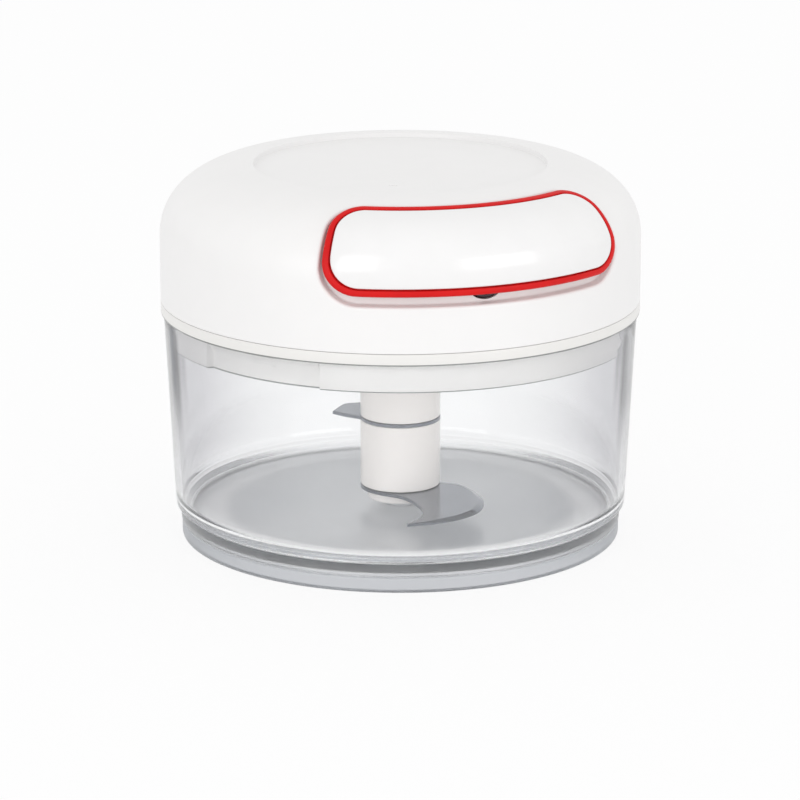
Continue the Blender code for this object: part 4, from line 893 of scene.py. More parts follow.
@dataclass(frozen=True)
class Bow:
    """A rounded rectangle on the dome, with the spine that its sides close to.

    What it carries is pressed together along the lid: by twice lean at the low end, not at all at the high.
    """

    half_length: float
    half_width: float
    corner: float
    middle: float
    lean: float = 0.0

    def outline(self, step: float = 0.0006) -> Array:
        """Return points round the edge, the same number above and below the spine.

        Args:
            step: the longest step along the edge.

        Returns:
            The (along, up) points.
        """
        corners = [
            (sign_x * self.half_length, sign_y * self.half_width, self.corner)
            for sign_x, sign_y in ((1, 1), (-1, 1), (-1, -1), (1, -1))
        ]
        edge = dense(rounded(corners, steps=16), step)
        return edge + np.array([0.0, self.middle])

    def spine(self, edge: Array) -> Array:
        """Return the nearest point on the spine for each edge point."""
        limit = self.half_length - self.half_width
        return np.stack([np.clip(edge[:, 0], -limit, limit), np.full(len(edge), self.middle)], axis=-1)

    def carried(self, edge: Array, section: Array) -> Array:
        """Carry (inset, proud) section points round the edge.

        Each point goes inset / half width of the way from edge to spine.

        Args:
            edge: the points of the edge.
            section: rows of inset and proud.

        Returns:
            A grid with a row for each section point.
        """
        share = (section[:, 0] / self.half_width)[:, None, None]
        flat = edge[None] + share * (self.spine(edge) - edge)[None]
        along = flat[..., 0] + self.lean * (1.0 - flat[..., 0] / self.half_length)
        return DOME.place(along, flat[..., 1], section[:, 1:2])

    def distance(self, along: Array, up: Array) -> Array:
        """Return the signed distance to the edge, negative inside: the usual formula of a rounded box.

        Args:
            along: lengths along the lid.
            up: lengths up it.

        Returns:
            The distances.
        """
        across = np.abs(along) - self.half_length + self.corner
        above = np.abs(up - self.middle) - self.half_width + self.corner
        outside = np.hypot(np.maximum(across, 0.0), np.maximum(above, 0.0))
        return outside + np.minimum(np.maximum(across, above), 0.0) - self.corner

    def nearest(self, points: Array) -> Array:
        """Return the edge point nearest to each outer point: held to the inner box, then a corner out.

        Args:
            points: (along, up) points outside the edge.

        Returns:
            The nearest points, in the same order.
        """
        core = np.array([self.half_length - self.corner, self.half_width - self.corner])
        centre = np.array([0.0, self.middle])
        flat = points - centre
        held = np.clip(flat, -core, core)
        away = flat - held
        away /= np.linalg.norm(away, axis=1)[:, None]
        return held + self.corner * away + centre

    def sweep(self, name: str, section: Array, step: float = 0.0006, ring: bool = False) -> Piece:
        """Return a piece whose (inset, proud) section is carried round the edge, a step at a time."""
        return solid(name, Sheet(self.carried(self.outline(step), section), ring_rows=ring))


# Sub-assemblies


class SubAssembly:
    """What belongs together, built by the methods whose names start with make_."""

    def make(self) -> None:
        """Call those methods in the order in which they are written."""
        for name in vars(type(self)):
            if name.startswith("make_"):
                getattr(self, name)()


BEND = np.linspace(0.0, math.pi / 2, 24)


@dataclass
class ClearBowl(SubAssembly):
    """The clear bowl with its lugs, the foggy ring round its foot and the pin that the blades turn on."""

    rim_radius: float = 0.0643
    rim_height: float = 0.0623
    base_radius: float = 0.0616
    step_height: float = 0.0090
    wall: float = 0.0018
    foot_radius: float = 0.0602
    foot_inner: float = 0.0586
    foot_top: float = 0.0081
    foot_bottom: float = 0.0043
    floor: float = 0.0072
    underside: float = 0.0052
    fillet: float = 0.0060
    plain_low: float = 0.03
    lug_azimuths: tuple = (math.radians(-55.6), math.radians(64.4), math.radians(-175.6))
    lug_half: float = 0.0048
    lug_soft: float = 0.026
    lug_low: float = 0.0577
    lug_high: float = 0.0609
    lug_reach: float = 0.0005
    pin_radius: float = 0.0025
    pin_low: float = 0.0066
    pin_high: float = 0.0264
    boss_radius: float = 0.0044
    boss_top: float = 0.0088
    ring_inner: float = 0.0566
    ring_outer: float = 0.0600
    ring_top: float = 0.0040
    tongue: float = 0.0017
    tongue_top: float = 0.00510

    def wall_at(self, height: Array) -> Array:
        """Return the outer radius at a height: a straight draft."""
        share = (height - self.step_height) / (self.rim_height - self.step_height)
        return self.base_radius + share * (self.rim_radius - self.base_radius)

    def section(self) -> Array:
        """Return the wall's section, from the axis over the floor, up the wall and back underneath.

        Returns:
            The (radius, height) points.
        """
        fillet_top = self.floor + self.fillet
        flat = self.wall_at(fillet_top) - self.wall - self.fillet
        lip = 0.12 * self.wall
        socket = self.pin_radius + 0.0003
        corners = [
            (0.0, self.pin_low), (socket, self.pin_low), (socket, self.boss_top, 0.0003),
            (self.boss_radius, self.boss_top, 0.0005), (self.boss_radius, self.floor, 0.0006),
            *((flat + self.fillet * math.sin(t), fillet_top - self.fillet * math.cos(t)) for t in BEND),
            (self.rim_radius - self.wall, self.rim_height, lip), (self.rim_radius, self.rim_height, lip),
            (self.base_radius, self.step_height, 0.0006), (self.foot_radius, self.foot_top, 0.0004),
            (self.foot_radius, self.foot_bottom, 0.0004), (self.foot_inner, self.foot_bottom, 0.0004),
            (self.foot_inner, self.underside, 0.0003), (0.0, self.underside),
        ]
        return dense(rounded(corners, closed=False, steps=7), 0.0030, closed=False)

    def make_bowl(self) -> None:
        """Build the bowl.

        The section is turned; on the inner wall the radius loses the lug's reach where both a window of
        azimuth and a window of height are open.
        """
        azimuths, gate = gated(self.lug_azimuths, self.lug_half / self.rim_radius, self.lug_soft)
        outline = self.section()
        wall_rows = np.where(self.inside(outline) & (outline[:, 1] > self.plain_low))[0]
        below = np.linspace(outline[wall_rows[0], 1], self.lug_low - 0.0020, 10)
        beside = np.linspace(self.lug_low - 0.0016, self.lug_high + 0.0012, 16)
        heights = np.unique(np.append(below, beside))
        rows = np.stack([self.wall_at(heights) - self.wall, heights], axis=-1)
        top = outline[wall_rows[-1] :]
        over = top[:, 1] > heights[-1]
        outline = np.concatenate([outline[: wall_rows[0]], rows, top[over], top[1:][~over[1:]]])
        open_height = window(outline[:, 1], 0.5 * (self.lug_low + self.lug_high), 0.0010, 0.0020)
        reach = self.lug_reach * (open_height * self.inside(outline))[:, None]
        radius = outline[:, :1] - reach * gate[None]
        bowl = solid("bowl_clear", Sheet(turned(outline, azimuths, radius)))
        finish_piece(bowl, BOWL_CLEAR, Body.BOWL, "bowl")

    def make_ring(self) -> None:
        """Build the soft ring: an L-shaped section whose tongue stands inside the foot."""
        inner, tongue = self.ring_inner, self.ring_inner + self.tongue
        corners = [
            (inner, 0.0, 0.0006), (self.ring_outer, 0.0, 0.0006), (self.ring_outer, self.ring_top, 0.0004),
            (tongue, self.ring_top, 0.0003), (tongue, self.tongue_top, 0.0004),
            (inner, self.tongue_top, 0.0004),
        ]
        ring = lathe("foot_ring", corners, 240, 0.0012)
        finish_piece(ring, RING_CLEAR, Body.BOWL, "non_slip_ring")

    def make_pin(self) -> None:
        """Build the pin with a domed top."""
        low, high, radius = self.pin_low + 0.0001, self.pin_high, self.pin_radius
        corners = [(0.0, low), (radius - 0.0001, low, 0.0003), (radius, high, 0.0012), (0.0, high)]
        pin = lathe("bowl_pin", corners, 48, 0.003, closed=False)
        finish_piece(pin, PIN_STEEL, Body.BOWL, "pivot_pin")

    def inside(self, outline: Array) -> Array:
        """Return which points of the section lie well within the outer wall."""
        return outline[:, 0] < self.wall_at(outline[:, 1]) - 0.6 * self.wall


@dataclass
class LidBase(SubAssembly):
    """The lower lid: flange, skirt with lug channels, floor with the bearing boss, seal and screws."""

    flange_radius: float = 0.0650
    flange_low: float = 0.06248
    flange_high: float = 0.0656
    skirt_inner: float = 0.0588
    skirt_outer: float = 0.0619
    skirt_low: float = 0.0547
    channel_floor: float = 0.0602
    channel_top: float = 0.0612
    channel_half: float = math.radians(17.06)
    channel_soft: float = 0.004
    channel_azimuths: tuple = (math.radians(-57.2), math.radians(62.8), math.radians(-177.2))
    floor_low: float = 0.0600
    floor_high: float = 0.0618
    boss_inner: float = 0.0083
    boss_outer: float = 0.0120
    boss_low: float = 0.0573
    rib_inner: float = 0.0610
    rib_outer: float = 0.0627
    rib_top: float = 0.0678
    seal_inner: float = 0.06285
    seal_outer: float = 0.06395
    seal_top: float = 0.0636
    screw_circle: float = 0.0480
    screw_azimuths: tuple = (math.radians(75.0), math.radians(180.0), math.radians(-75.0))
    tower_radius: float = 0.0048
    tower_top: float = 0.0700
    recess_radius: float = 0.0032
    recess_top: float = 0.0657
    head_radius: float = 0.0029
    head_low: float = 0.0636
    head_top: float = 0.0654
    shank_radius: float = 0.0014
    shank_top: float = 0.0804
    thread_depth: float = 0.00022
    cross_turn: float = 0.4

    def make_base(self) -> None:
        """Build the base.

        A closed section is turned. Below the channels' top the radius is held to the channel's floor
        where the window of azimuth is open.
        """
        groove_in, groove_out = self.seal_inner - SEAL_PLAY, self.seal_outer + SEAL_PLAY
        groove_top = self.seal_top + SEAL_PLAY
        corners = [
            (self.boss_inner, self.boss_low, 0.0003), (self.boss_outer, self.boss_low, 0.0006),
            (self.boss_outer, self.floor_low, 0.0008), (self.skirt_inner, self.floor_low, 0.0010),
            (self.skirt_inner, self.skirt_low, 0.0004), (self.skirt_outer, self.skirt_low, 0.0006),
            (self.skirt_outer, self.flange_low, 0.0002), (groove_in, self.flange_low),
            (groove_in, groove_top), (groove_out, groove_top),
            (groove_out, self.flange_low), (self.flange_radius, self.flange_low, 0.00015),
            (self.flange_radius, self.flange_high, 0.0002), (self.rib_outer, self.flange_high),
            (self.rib_outer, self.rib_top, 0.0004), (self.rib_inner, self.rib_top, 0.0004),
            (self.rib_inner, self.floor_high, 0.0006), (self.boss_inner, self.floor_high, 0.0003),
        ]
        outline = dense(rounded(corners, steps=4), 0.0040)
        azimuths, gate = gated(self.channel_azimuths, self.channel_half, self.channel_soft)
        below = (outline[:, 1] < self.channel_top) & (outline[:, 0] > self.skirt_inner + 0.0001)
        excess = np.where(below, np.maximum(outline[:, 0] - self.channel_floor, 0.0), 0.0)
        radius = outline[:, :1] - excess[:, None] * gate[None]
        base = solid("base_lid", Sheet(turned(outline, azimuths, radius), ring_rows=True))
        for x, y in self.screw_places():
            low, top = self.floor_low, self.tower_top
            joined(base, bar("tower", x, y, self.tower_radius, low + 0.0004, top), "UNION")
            joined(base, bar("recess", x, y, self.recess_radius, low - CUT, self.recess_top))
            joined(base, bar("hole", x, y, self.shank_radius + 0.0003, low, top + CUT))
        finish_piece(base, BASE_WHITE, Body.LID, "lid_base")

    def make_seal(self) -> None:
        """Build the seal with a rounded underside."""
        easing = (0.0004, 0.0004, 0.0002, 0.0002)
        corners = sleeve(self.seal_inner, self.seal_outer, self.flange_low + 0.00002, self.seal_top, *easing)
        seal = lathe("rim_seal", corners, 240, steps=5)
        finish_piece(seal, SEAL_WHITE, Body.SEAL, "lid_seal")

    def make_screws(self) -> None:
        """Build the screws: a turned head and threaded shank, with a cross cut into the head."""
        rows = 45
        thread = self.head_top + np.linspace(0.0006, self.shank_top - self.head_top - 0.0012, rows)
        wave = self.shank_radius - self.thread_depth * (1.0 - np.abs(np.sin(np.arange(rows) * math.pi / 4)))
        corners = [
            (0.0, self.head_low), (self.head_radius - 0.0001, self.head_low, 0.0008),
            (self.head_radius, self.head_top, 0.0001), (self.shank_radius, self.head_top),
        ]
        shank = np.stack([wave, thread], axis=-1)
        outline = np.concatenate([rounded(corners, closed=False), shank, [[0.0, self.shank_top]]])
        for i, (x, y) in enumerate(self.screw_places(), 1):
            screw = solid(f"screw_{i}", Sheet(shifted(turned(outline, around(32)), x, y)))
            for turn in (self.cross_turn, self.cross_turn + math.pi / 2):
                joined(screw, slot_bar(x, y, turn, self.head_low))
            finish_piece(screw, PIN_STEEL, Body.LID, f"lid_screw_{i}")

    def screw_places(self) -> list[tuple[float, float]]:
        """Return each screw's x and y.

        Returns:
            A pair for each screw.
        """
        return [
            (self.screw_circle * math.sin(azimuth), -self.screw_circle * math.cos(azimuth))
            for azimuth in self.screw_azimuths
        ]


def bar(name: str, x: float, y: float, radius: float, low: float, high: float) -> Piece:
    """Return a round bar along +Z."""
    outline = np.array([[0.0, low], [radius, low], [radius, high], [0.0, high]])
    return solid(name, Sheet(shifted(turned(outline, around(48)), x, y)))


def slot_bar(x: float, y: float, turn: float, height: float) -> Piece:
    """Return a flat bar for cutting one slot of a cross into a screw's head.

    Args:
        x: the screw's x.
        y: the screw's y.
        turn: the bar's angle about +Z.
        height: the head's lower end.

    Returns:
        The bar.
    """
    ring = np.array([[-1, -1], [1, -1], [1, 1], [-1, 1]]) * np.array(CROSS_HALVES) @ rotation(turn)
    rows = ((0.0, -CUT), (1.0, -CUT), (1.0, CUT), (0.0, CUT))
    grid = np.stack([np.column_stack([size * ring, np.full(4, z)]) for size, z in rows])
    return solid("slot", Sheet(shifted(grid, x, y, height)))


@dataclass
class DomedCover(SubAssembly):
    """The domed cover with its sunk disc and the handle's pocket, and the dark cup of the cord outlet."""

    pocket: Bow = Bow(0.0436, 0.0150, 0.0100, 0.0109, 0.0005)
    bottom: float = 0.0657
    foot_inner: float = 0.0630
    ceiling: float = 0.0993
    ceiling_radii: tuple[float, ...] = (0.0, 0.020, 0.0385)
    outlet: tuple[float, float, float] = (0.0057, 0.050, 0.070)
    wall: float = 0.0020
    pocket_depth: float = 0.0026
    pocket_wall: float = 0.0018
    sink_soft: float = 0.0030
    lip: float = 0.0010
    border: float = 0.0034
    fine: float = 0.0007
    coarse: float = 0.0026
    disc: float = 0.1013
    disc_lip: float = 0.0396
    disc_radius: float = 0.03924
    gate_place: tuple[float, float] = (-0.0105, -0.0228)
    gate_section: tuple = ((0.0, -0.00025), (0.0010, -0.00025), (0.0014, 0.0003), (0.0, 0.0003))
    cup_bore: float = 0.0043
    cup_radius: float = 0.0054
    cup_floor: float = 0.0551
    cup_end: float = 0.0539
    cup_step: float = 0.0555
    cup_front: float = 0.0624
    trim_start: float = 0.0585
    cord_hole: float = 0.0013
    flange: float = 0.0068

    def grid_axes(self) -> tuple[Array, Array, float, float, float]:
        """Return the lengths along and up the lid at which the grid's lines lie, fine near the pocket.

        Returns:
            Both rows of lengths, and the hole's half length, lower edge and upper edge.
        """
        edge_x = self.pocket.half_length + self.border
        low = self.pocket.middle - self.pocket.half_width - self.border
        high = self.pocket.middle + self.pocket.half_width + self.border
        far = TAU * DOME.mean_radius - edge_x
        near = np.linspace(-edge_x, edge_x, 2 * math.ceil(edge_x / self.fine) + 1)
        beyond = np.linspace(edge_x, far, math.ceil((far - edge_x) / self.coarse) + 1)
        up_low = np.linspace(self.bottom - DOME.shoulder + 0.0006, low, 8)
        up_near = np.linspace(low, high, math.ceil((high - low) / self.fine) + 1)
        up_high = np.linspace(high, DOME.arc()[1][-1], 6)
        up = np.concatenate([up_low[:-1], up_near, up_high[1:]])
        return np.append(near, beyond[1:-1]), up, edge_x, low, high

    def make_cover(self) -> None:
        """Build the cover.

        The outer grid follows the dome, with a hole for the pocket. The hole is filled by rings that run
        from its border to the pocket's edge, over the lip, down the wall and across the floor to the
        spine. The inner grid lies a wall behind, and further behind the pocket.
        """
        pocket, floor = self.pocket, -self.pocket_depth
        along, up, edge_x, low, high = self.grid_axes()
        azimuths = along / DOME.mean_radius
        outer = DOME.place(along[None], up[:, None], 0.0)
        foot_corners = [
            (self.foot_inner, self.bottom), (DOME.wall_radius, self.bottom, 0.0002),
            (DOME.wall_radius, self.bottom + 0.001),
        ]
        foot = turned(rounded(foot_corners, closed=False)[:-1], azimuths)
        top_height = DOME.shoulder + DOME.rise
        crown = [
            (DOME.crown_radius, top_height), (self.disc_lip, top_height, 0.00035),
            (self.disc_radius, self.disc, 0.00035), (0.0, self.disc),
        ]
        top = turned(dense(rounded(crown, closed=False), 0.006, closed=False)[1:], azimuths)
        inner_up = up[up > self.bottom - DOME.shoulder][:, None]
        half_round = math.pi * DOME.mean_radius
        wrapped = np.where(along > half_round, along - TAU * DOME.mean_radius, along)[None]
        sink = smoothstep(1.1 - pocket.distance(wrapped, inner_up) / self.sink_soft)
        depth = -self.wall - (self.pocket_depth + self.pocket_wall - self.wall) * sink
        inner = DOME.place(along[None], inner_up, depth)[::-1]
        flat_top = turned(np.array([(radius, self.ceiling) for radius in self.ceiling_radii]), azimuths)
        rows = np.concatenate([flat_top, inner, foot, outer, top])
        hole = np.zeros((len(rows) - 1, len(along)), dtype=bool)
        first = len(flat_top) + len(inner) + len(foot)
        open_rows = np.where((up >= low - CLOSE) & (up < high - CLOSE))[0] + first
        open_columns = np.where((along >= -edge_x - CLOSE) & (along < edge_x - CLOSE))[0]
        hole[np.ix_(open_rows, open_columns)] = True
        border = self.border_points(along, up, edge_x, low, high)
        nearest = pocket.nearest(border)
        outward = border - nearest
        lip_start = nearest + outward * (self.lip / np.linalg.norm(outward, axis=1))[:, None]
        flat = border[None] + np.array([0.0, 0.4, 0.7, 0.88])[:, None, None] * (lip_start - border)[None]
        approach = DOME.place(flat[..., 0], flat[..., 1], 0.0)
        lip = self.lip
        section = [(-lip, 0.0), (-0.15 * lip, 0.0, 0.8 * lip), (0.05 * lip, floor, 0.5 * lip)]
        section += [(share * pocket.half_width, floor) for share in (0.30, 0.55, 0.80, 1.0)]
        basin = pocket.carried(nearest, rounded(section, closed=False))
        cover = solid("cover_dome", Sheet(rows, open_cells=hole), Sheet(np.concatenate([approach, basin])))
        joined(cover, outlet_bar("outlet", *self.outlet))
        joined(cover, self.gate_mark())
        finish_piece(cover, LID_WHITE, Body.LID, "lid_cover")

    def border_points(self, along: Array, up: Array, edge_x: float, low: float, high: float) -> Array:
        """Return the (along, up) points round the outer grid's hole, in order.

        Args:
            along: the grid's lengths along the lid.
            up: the grid's lengths up the lid.
            edge_x: half the hole's length.
            low: the hole's lower edge.
            high: the hole's upper edge.

        Returns:
            The points.
        """
        across = along[(along >= -edge_x - CLOSE) & (along <= edge_x + CLOSE)]
        rise = up[(up >= low - CLOSE) & (up <= high + CLOSE)]
        sides = ((across, low), (edge_x, rise), (across[::-1], high), (-edge_x, rise[::-1]))
        return np.concatenate([np.column_stack(np.broadcast_arrays(*side))[:-1] for side in sides])

    def gate_mark(self) -> Piece:
        """Return the shallow round dimple that the moulding gate leaves on the disc."""
        outline = np.array(self.gate_section) + np.array([0.0, self.disc])
        grid = turned(outline, around(40))
        return solid("gate", Sheet(shifted(grid, *self.gate_place)))

    def make_eyelet(self) -> None:
        """Build the outlet cup: turned about the cord's line, its mouth trimmed to the pocket's floor.

        The mouth lies at y = -sqrt(R(z)^2 - x^2), where R is the radius of the pocket's floor.
        """
        front, step, end, floor = self.cup_front, self.cup_step, self.cup_end, self.cup_floor
        corners = [
            (self.cup_bore, front, 0.0004), (self.cup_radius, front, 0.0004),
            (self.cup_radius, step, 0.0001), (self.flange, step, 0.0003),
            (self.flange, end, 0.0003), (self.cord_hole, end, 0.0003),
            (self.cord_hole, floor, 0.0003), (self.cup_bore, floor, 0.0005),
        ]
        grid = along_y(turned(dense(rounded(corners), 0.002), around(96)), OUTLET_HEIGHT)
        radii, levels = DOME.meridian(np.linspace(-0.01, 0.02, 400), np.full(400, -self.pocket_depth))
        mouth = np.sqrt(np.interp(grid[..., 2], levels, radii) ** 2 - grid[..., 0] ** 2)
        share = np.clip((-grid[..., 1] - self.trim_start) / (front - self.trim_start), 0.0, 1.0)
        grid[..., 1] += share * (front - mouth)
        cup = solid("outlet_cup", Sheet(grid, ring_rows=True))
        finish_piece(cup, OUTLET_DARK, Body.LID, "cord_eyelet")


def outlet_bar(name: str, radius: float, start: float, end: float) -> Piece:
    """Return a round bar along -Y through the cord's outlet."""
    outline = np.array([[0.0, start], [radius, start], [radius, end], [0.0, end]])
    return solid(name, Sheet(along_y(turned(outline, around(64)), OUTLET_HEIGHT)))


@dataclass
class PullHandle(SubAssembly):
    """The bowed handle: glossy face, soft red rim, back with the knot cup, and the cord's knot and lead."""

    bow: Bow = Bow(0.0426, 0.0132, 0.0090, 0.0117, 0.0004)
    proud: float = 0.0011
    crown: float = 0.0014
    shell: float = 0.0016
    rim_width: float = 0.0019
    rim_depth: float = 0.0027
    face_inset: float = 0.0022
    back_low: float = -0.0023
    back_high: float = -0.0011
    cup_radius: float = 0.0039
    cup_bore: float = 0.0027
    cup_end: float = 0.0555
    cup_front: float = 0.0629
    bore_front: float = 0.0646
    knot_radius: float = 0.0024
    knot_y: float = -0.0594
    knot_swell: float = 0.07
    knot_twist: float = 7.0
    lead_start: float = -0.0548
    lead_end: float = -0.0567

    def crown_at(self, inset: Array) -> Array:
        """Return the face's height: a parabola from edge to spine."""
        share = (self.bow.half_width - inset) / (self.bow.half_width - self.face_inset)
        return self.proud + self.crown * (1.0 - share**2)

    def make_face(self) -> None:
        """Build the face: a crowned shell with a rounded edge, carried round the bow."""
        half = self.bow.half_width
        insets = half * np.linspace(1.0, 0.26, 16)
        top = np.column_stack([insets, self.crown_at(insets)])
        low = self.proud - self.shell
        edge = [
            tuple(top[-1]), (self.face_inset, self.proud, 0.0006), (self.face_inset, low, 0.0003),
            (0.25 * half, low),
        ]
        under = (top - np.array([0.0, self.shell]))[::-1]
        section = np.concatenate([top[:-1], rounded(edge, closed=False)[:-1], under[1:]])
        finish_piece(self.bow.sweep("handle_front", section), HANDLE_WHITE, Body.HANDLE, "handle_face")

    def make_rim(self) -> None:
        """Build the rim: a closed rounded section carried round the bow."""
        low, lip = self.proud - self.rim_depth, self.proud - 0.0011
        corners = [
            (self.rim_width - 0.0001, lip, 0.0002), (self.rim_width - 0.0001, self.proud - 0.0001, 0.0003),
            (0.0, self.proud, 0.0009), (0.0, low, 0.0006), (self.rim_width + 0.0002, low, 0.0002),
            (self.rim_width + 0.0002, lip, 0.0001),
        ]
        rim = self.bow.sweep("handle_band", dense(rounded(corners, steps=7), 0.0008), ring=True)
        finish_piece(rim, RIM_RED, Body.HANDLE, "handle_rim")

    def make_back(self) -> None:
        """Build the back: a plate carried round the bow, with the knot cup joined on and bored."""
        insets = self.bow.half_width * np.array([1.0, 0.8, 0.6, 0.4, 0.27])
        side = self.face_inset + 0.0001
        corners = [(inset, self.back_high) for inset in insets]
        corners += [(side, self.back_high, 0.0002), (side, self.back_low, 0.0004)]
        corners += [(inset, self.back_low) for inset in insets[::-1]]
        back = self.bow.sweep("handle_inside", rounded(corners, closed=False), 0.0012)
        joined(back, outlet_bar("cup", self.cup_radius, self.cup_end, self.cup_front), "UNION")
        joined(back, outlet_bar("bore", self.cup_bore, self.cup_end + 0.0012, self.bore_front))
        joined(back, outlet_bar("hole", CORD_RADIUS + CORD_PLAY, self.cup_end - 0.0015, self.bore_front))
        finish_piece(back, LID_WHITE, Body.HANDLE, "handle_back")

    def make_knot(self) -> None:
        """Build the knot: a ball whose radius swells and sinks along a spiral from pole to pole."""
        tilt = np.linspace(0.0, math.pi, 40)[:, None]
        azimuths = around(48)
        swell = 1.0 - self.knot_swell * (1.0 + np.cos(self.knot_twist * tilt + azimuths)) * np.sin(tilt) ** 2
        reach = self.knot_radius * np.sin(tilt) * swell
        grid = polar(reach, azimuths, -self.knot_radius * np.cos(tilt) - self.knot_y)
        knot = solid("cord_bead", Sheet(along_y(grid, OUTLET_HEIGHT)))
        corners = np.tile(np.array([0.2, 0.3], dtype=np.float32), len(knot.data.loops))
        knot.data.uv_layers.new(name=CORD_UV).data.foreach_set("uv", corners)
        finish_piece(knot, CORD_BRAID, Body.HANDLE, "cord_knot")

    def make_lead(self) -> None:
        """Build the cord's lead, which runs from the lid to the handle."""
        start, end = ((0.0, y, OUTLET_HEIGHT) for y in (self.lead_start, self.lead_end))
        lead = tube("cord_to_handle", np.linspace(start, end, 8), CORD_RADIUS - 0.00002)
        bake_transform(lead)
        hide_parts("cord_lead")
        dress(lead, CORD_BRAID)
        LOG.info("%s: from lid to handle", lead.name)


@dataclass
class CordReel(SubAssembly):
    """The reel and what belongs to it: the wound cord, its run to the outlet, spring, axle and pawls."""

    wind_radius: float = 0.0179
    turns: int = 4
    pitch: float = 0.0021
    wind_low: float = 0.0781
    run_height: float = 0.0886
    wrap: float = math.radians(40.0)
    eyelet_end: float = 0.0539
    approach: float = 0.0045
    bend: float = 0.35
    tail: tuple[float, ...] = (-0.0515, -0.0530, -0.0543)

    def leave(self) -> float:
        """Return the angle from +X at which the cord leaves the drum towards the outlet."""
        return -math.pi / 2 - math.acos(self.wind_radius / self.eyelet_end)

    def make_winding(self) -> None:
        """Build the wound cord: a helix that rises by the pitch each turn."""
        turn = np.linspace(0.0, self.turns * TAU, self.turns * 72 + 1)
        path = self.round_drum(self.leave() - self.wrap + turn, self.wind_low + self.pitch * turn / TAU)
        winding = tube("cord_on_drum", path, CORD_RADIUS, 12)
        finish_piece(winding, CORD_BRAID, Body.REEL, "cord_winding")

    def make_run(self) -> None:
        """Build the cord's run: part of a turn, then a cubic Bezier to the outlet's hole."""
        leave = self.leave()
        wrap = self.round_drum(np.linspace(leave - self.wrap, leave, 14), self.run_height)
        start = wrap[-1]
        end = np.array([0.0, -self.eyelet_end + self.approach, OUTLET_HEIGHT])
        reach = self.bend * np.linalg.norm(end - start)
        first = start + reach * np.array([-math.sin(leave), math.cos(leave), 0.0])
        second = end + np.array([0.0, reach, 0.0])
        share = np.linspace(0.0, 1.0, 32)[1:, None]
        rest = 1.0 - share
        curve = rest**3 * start + 3 * rest**2 * share * first + 3 * rest * share**2 * second + share**3 * end
        tail = np.array([[0.0, y, OUTLET_HEIGHT] for y in self.tail])
        run = tube("cord_inside", np.concatenate([wrap, curve, tail]), CORD_RADIUS, 12)
        finish_piece(run, CORD_BRAID, Body.LID, "cord_run")

    def make_kept_nodes(self) -> None:
        """Dress the CAD nodes that are shown as they are."""
        for node in ("reel", "clutch_pawl_1", "clutch_pawl_2"):
            dress_node(node, REEL_GREY)
        for node in ("reel_axle", "spring_plate"):
            dress_node(node, PIN_STEEL)
        dress_node("spring_housing", BEARING_NATURAL)
        dress_node("power_spring", SPRING_STEEL)

    def round_drum(self, angle: Array, height: Array) -> Array:
        """Return points on the drum's winding circle, at angles from +X."""
        height = np.broadcast_to(height, angle.shape)
        return np.column_stack([self.wind_radius * np.cos(angle), self.wind_radius * np.sin(angle), height])


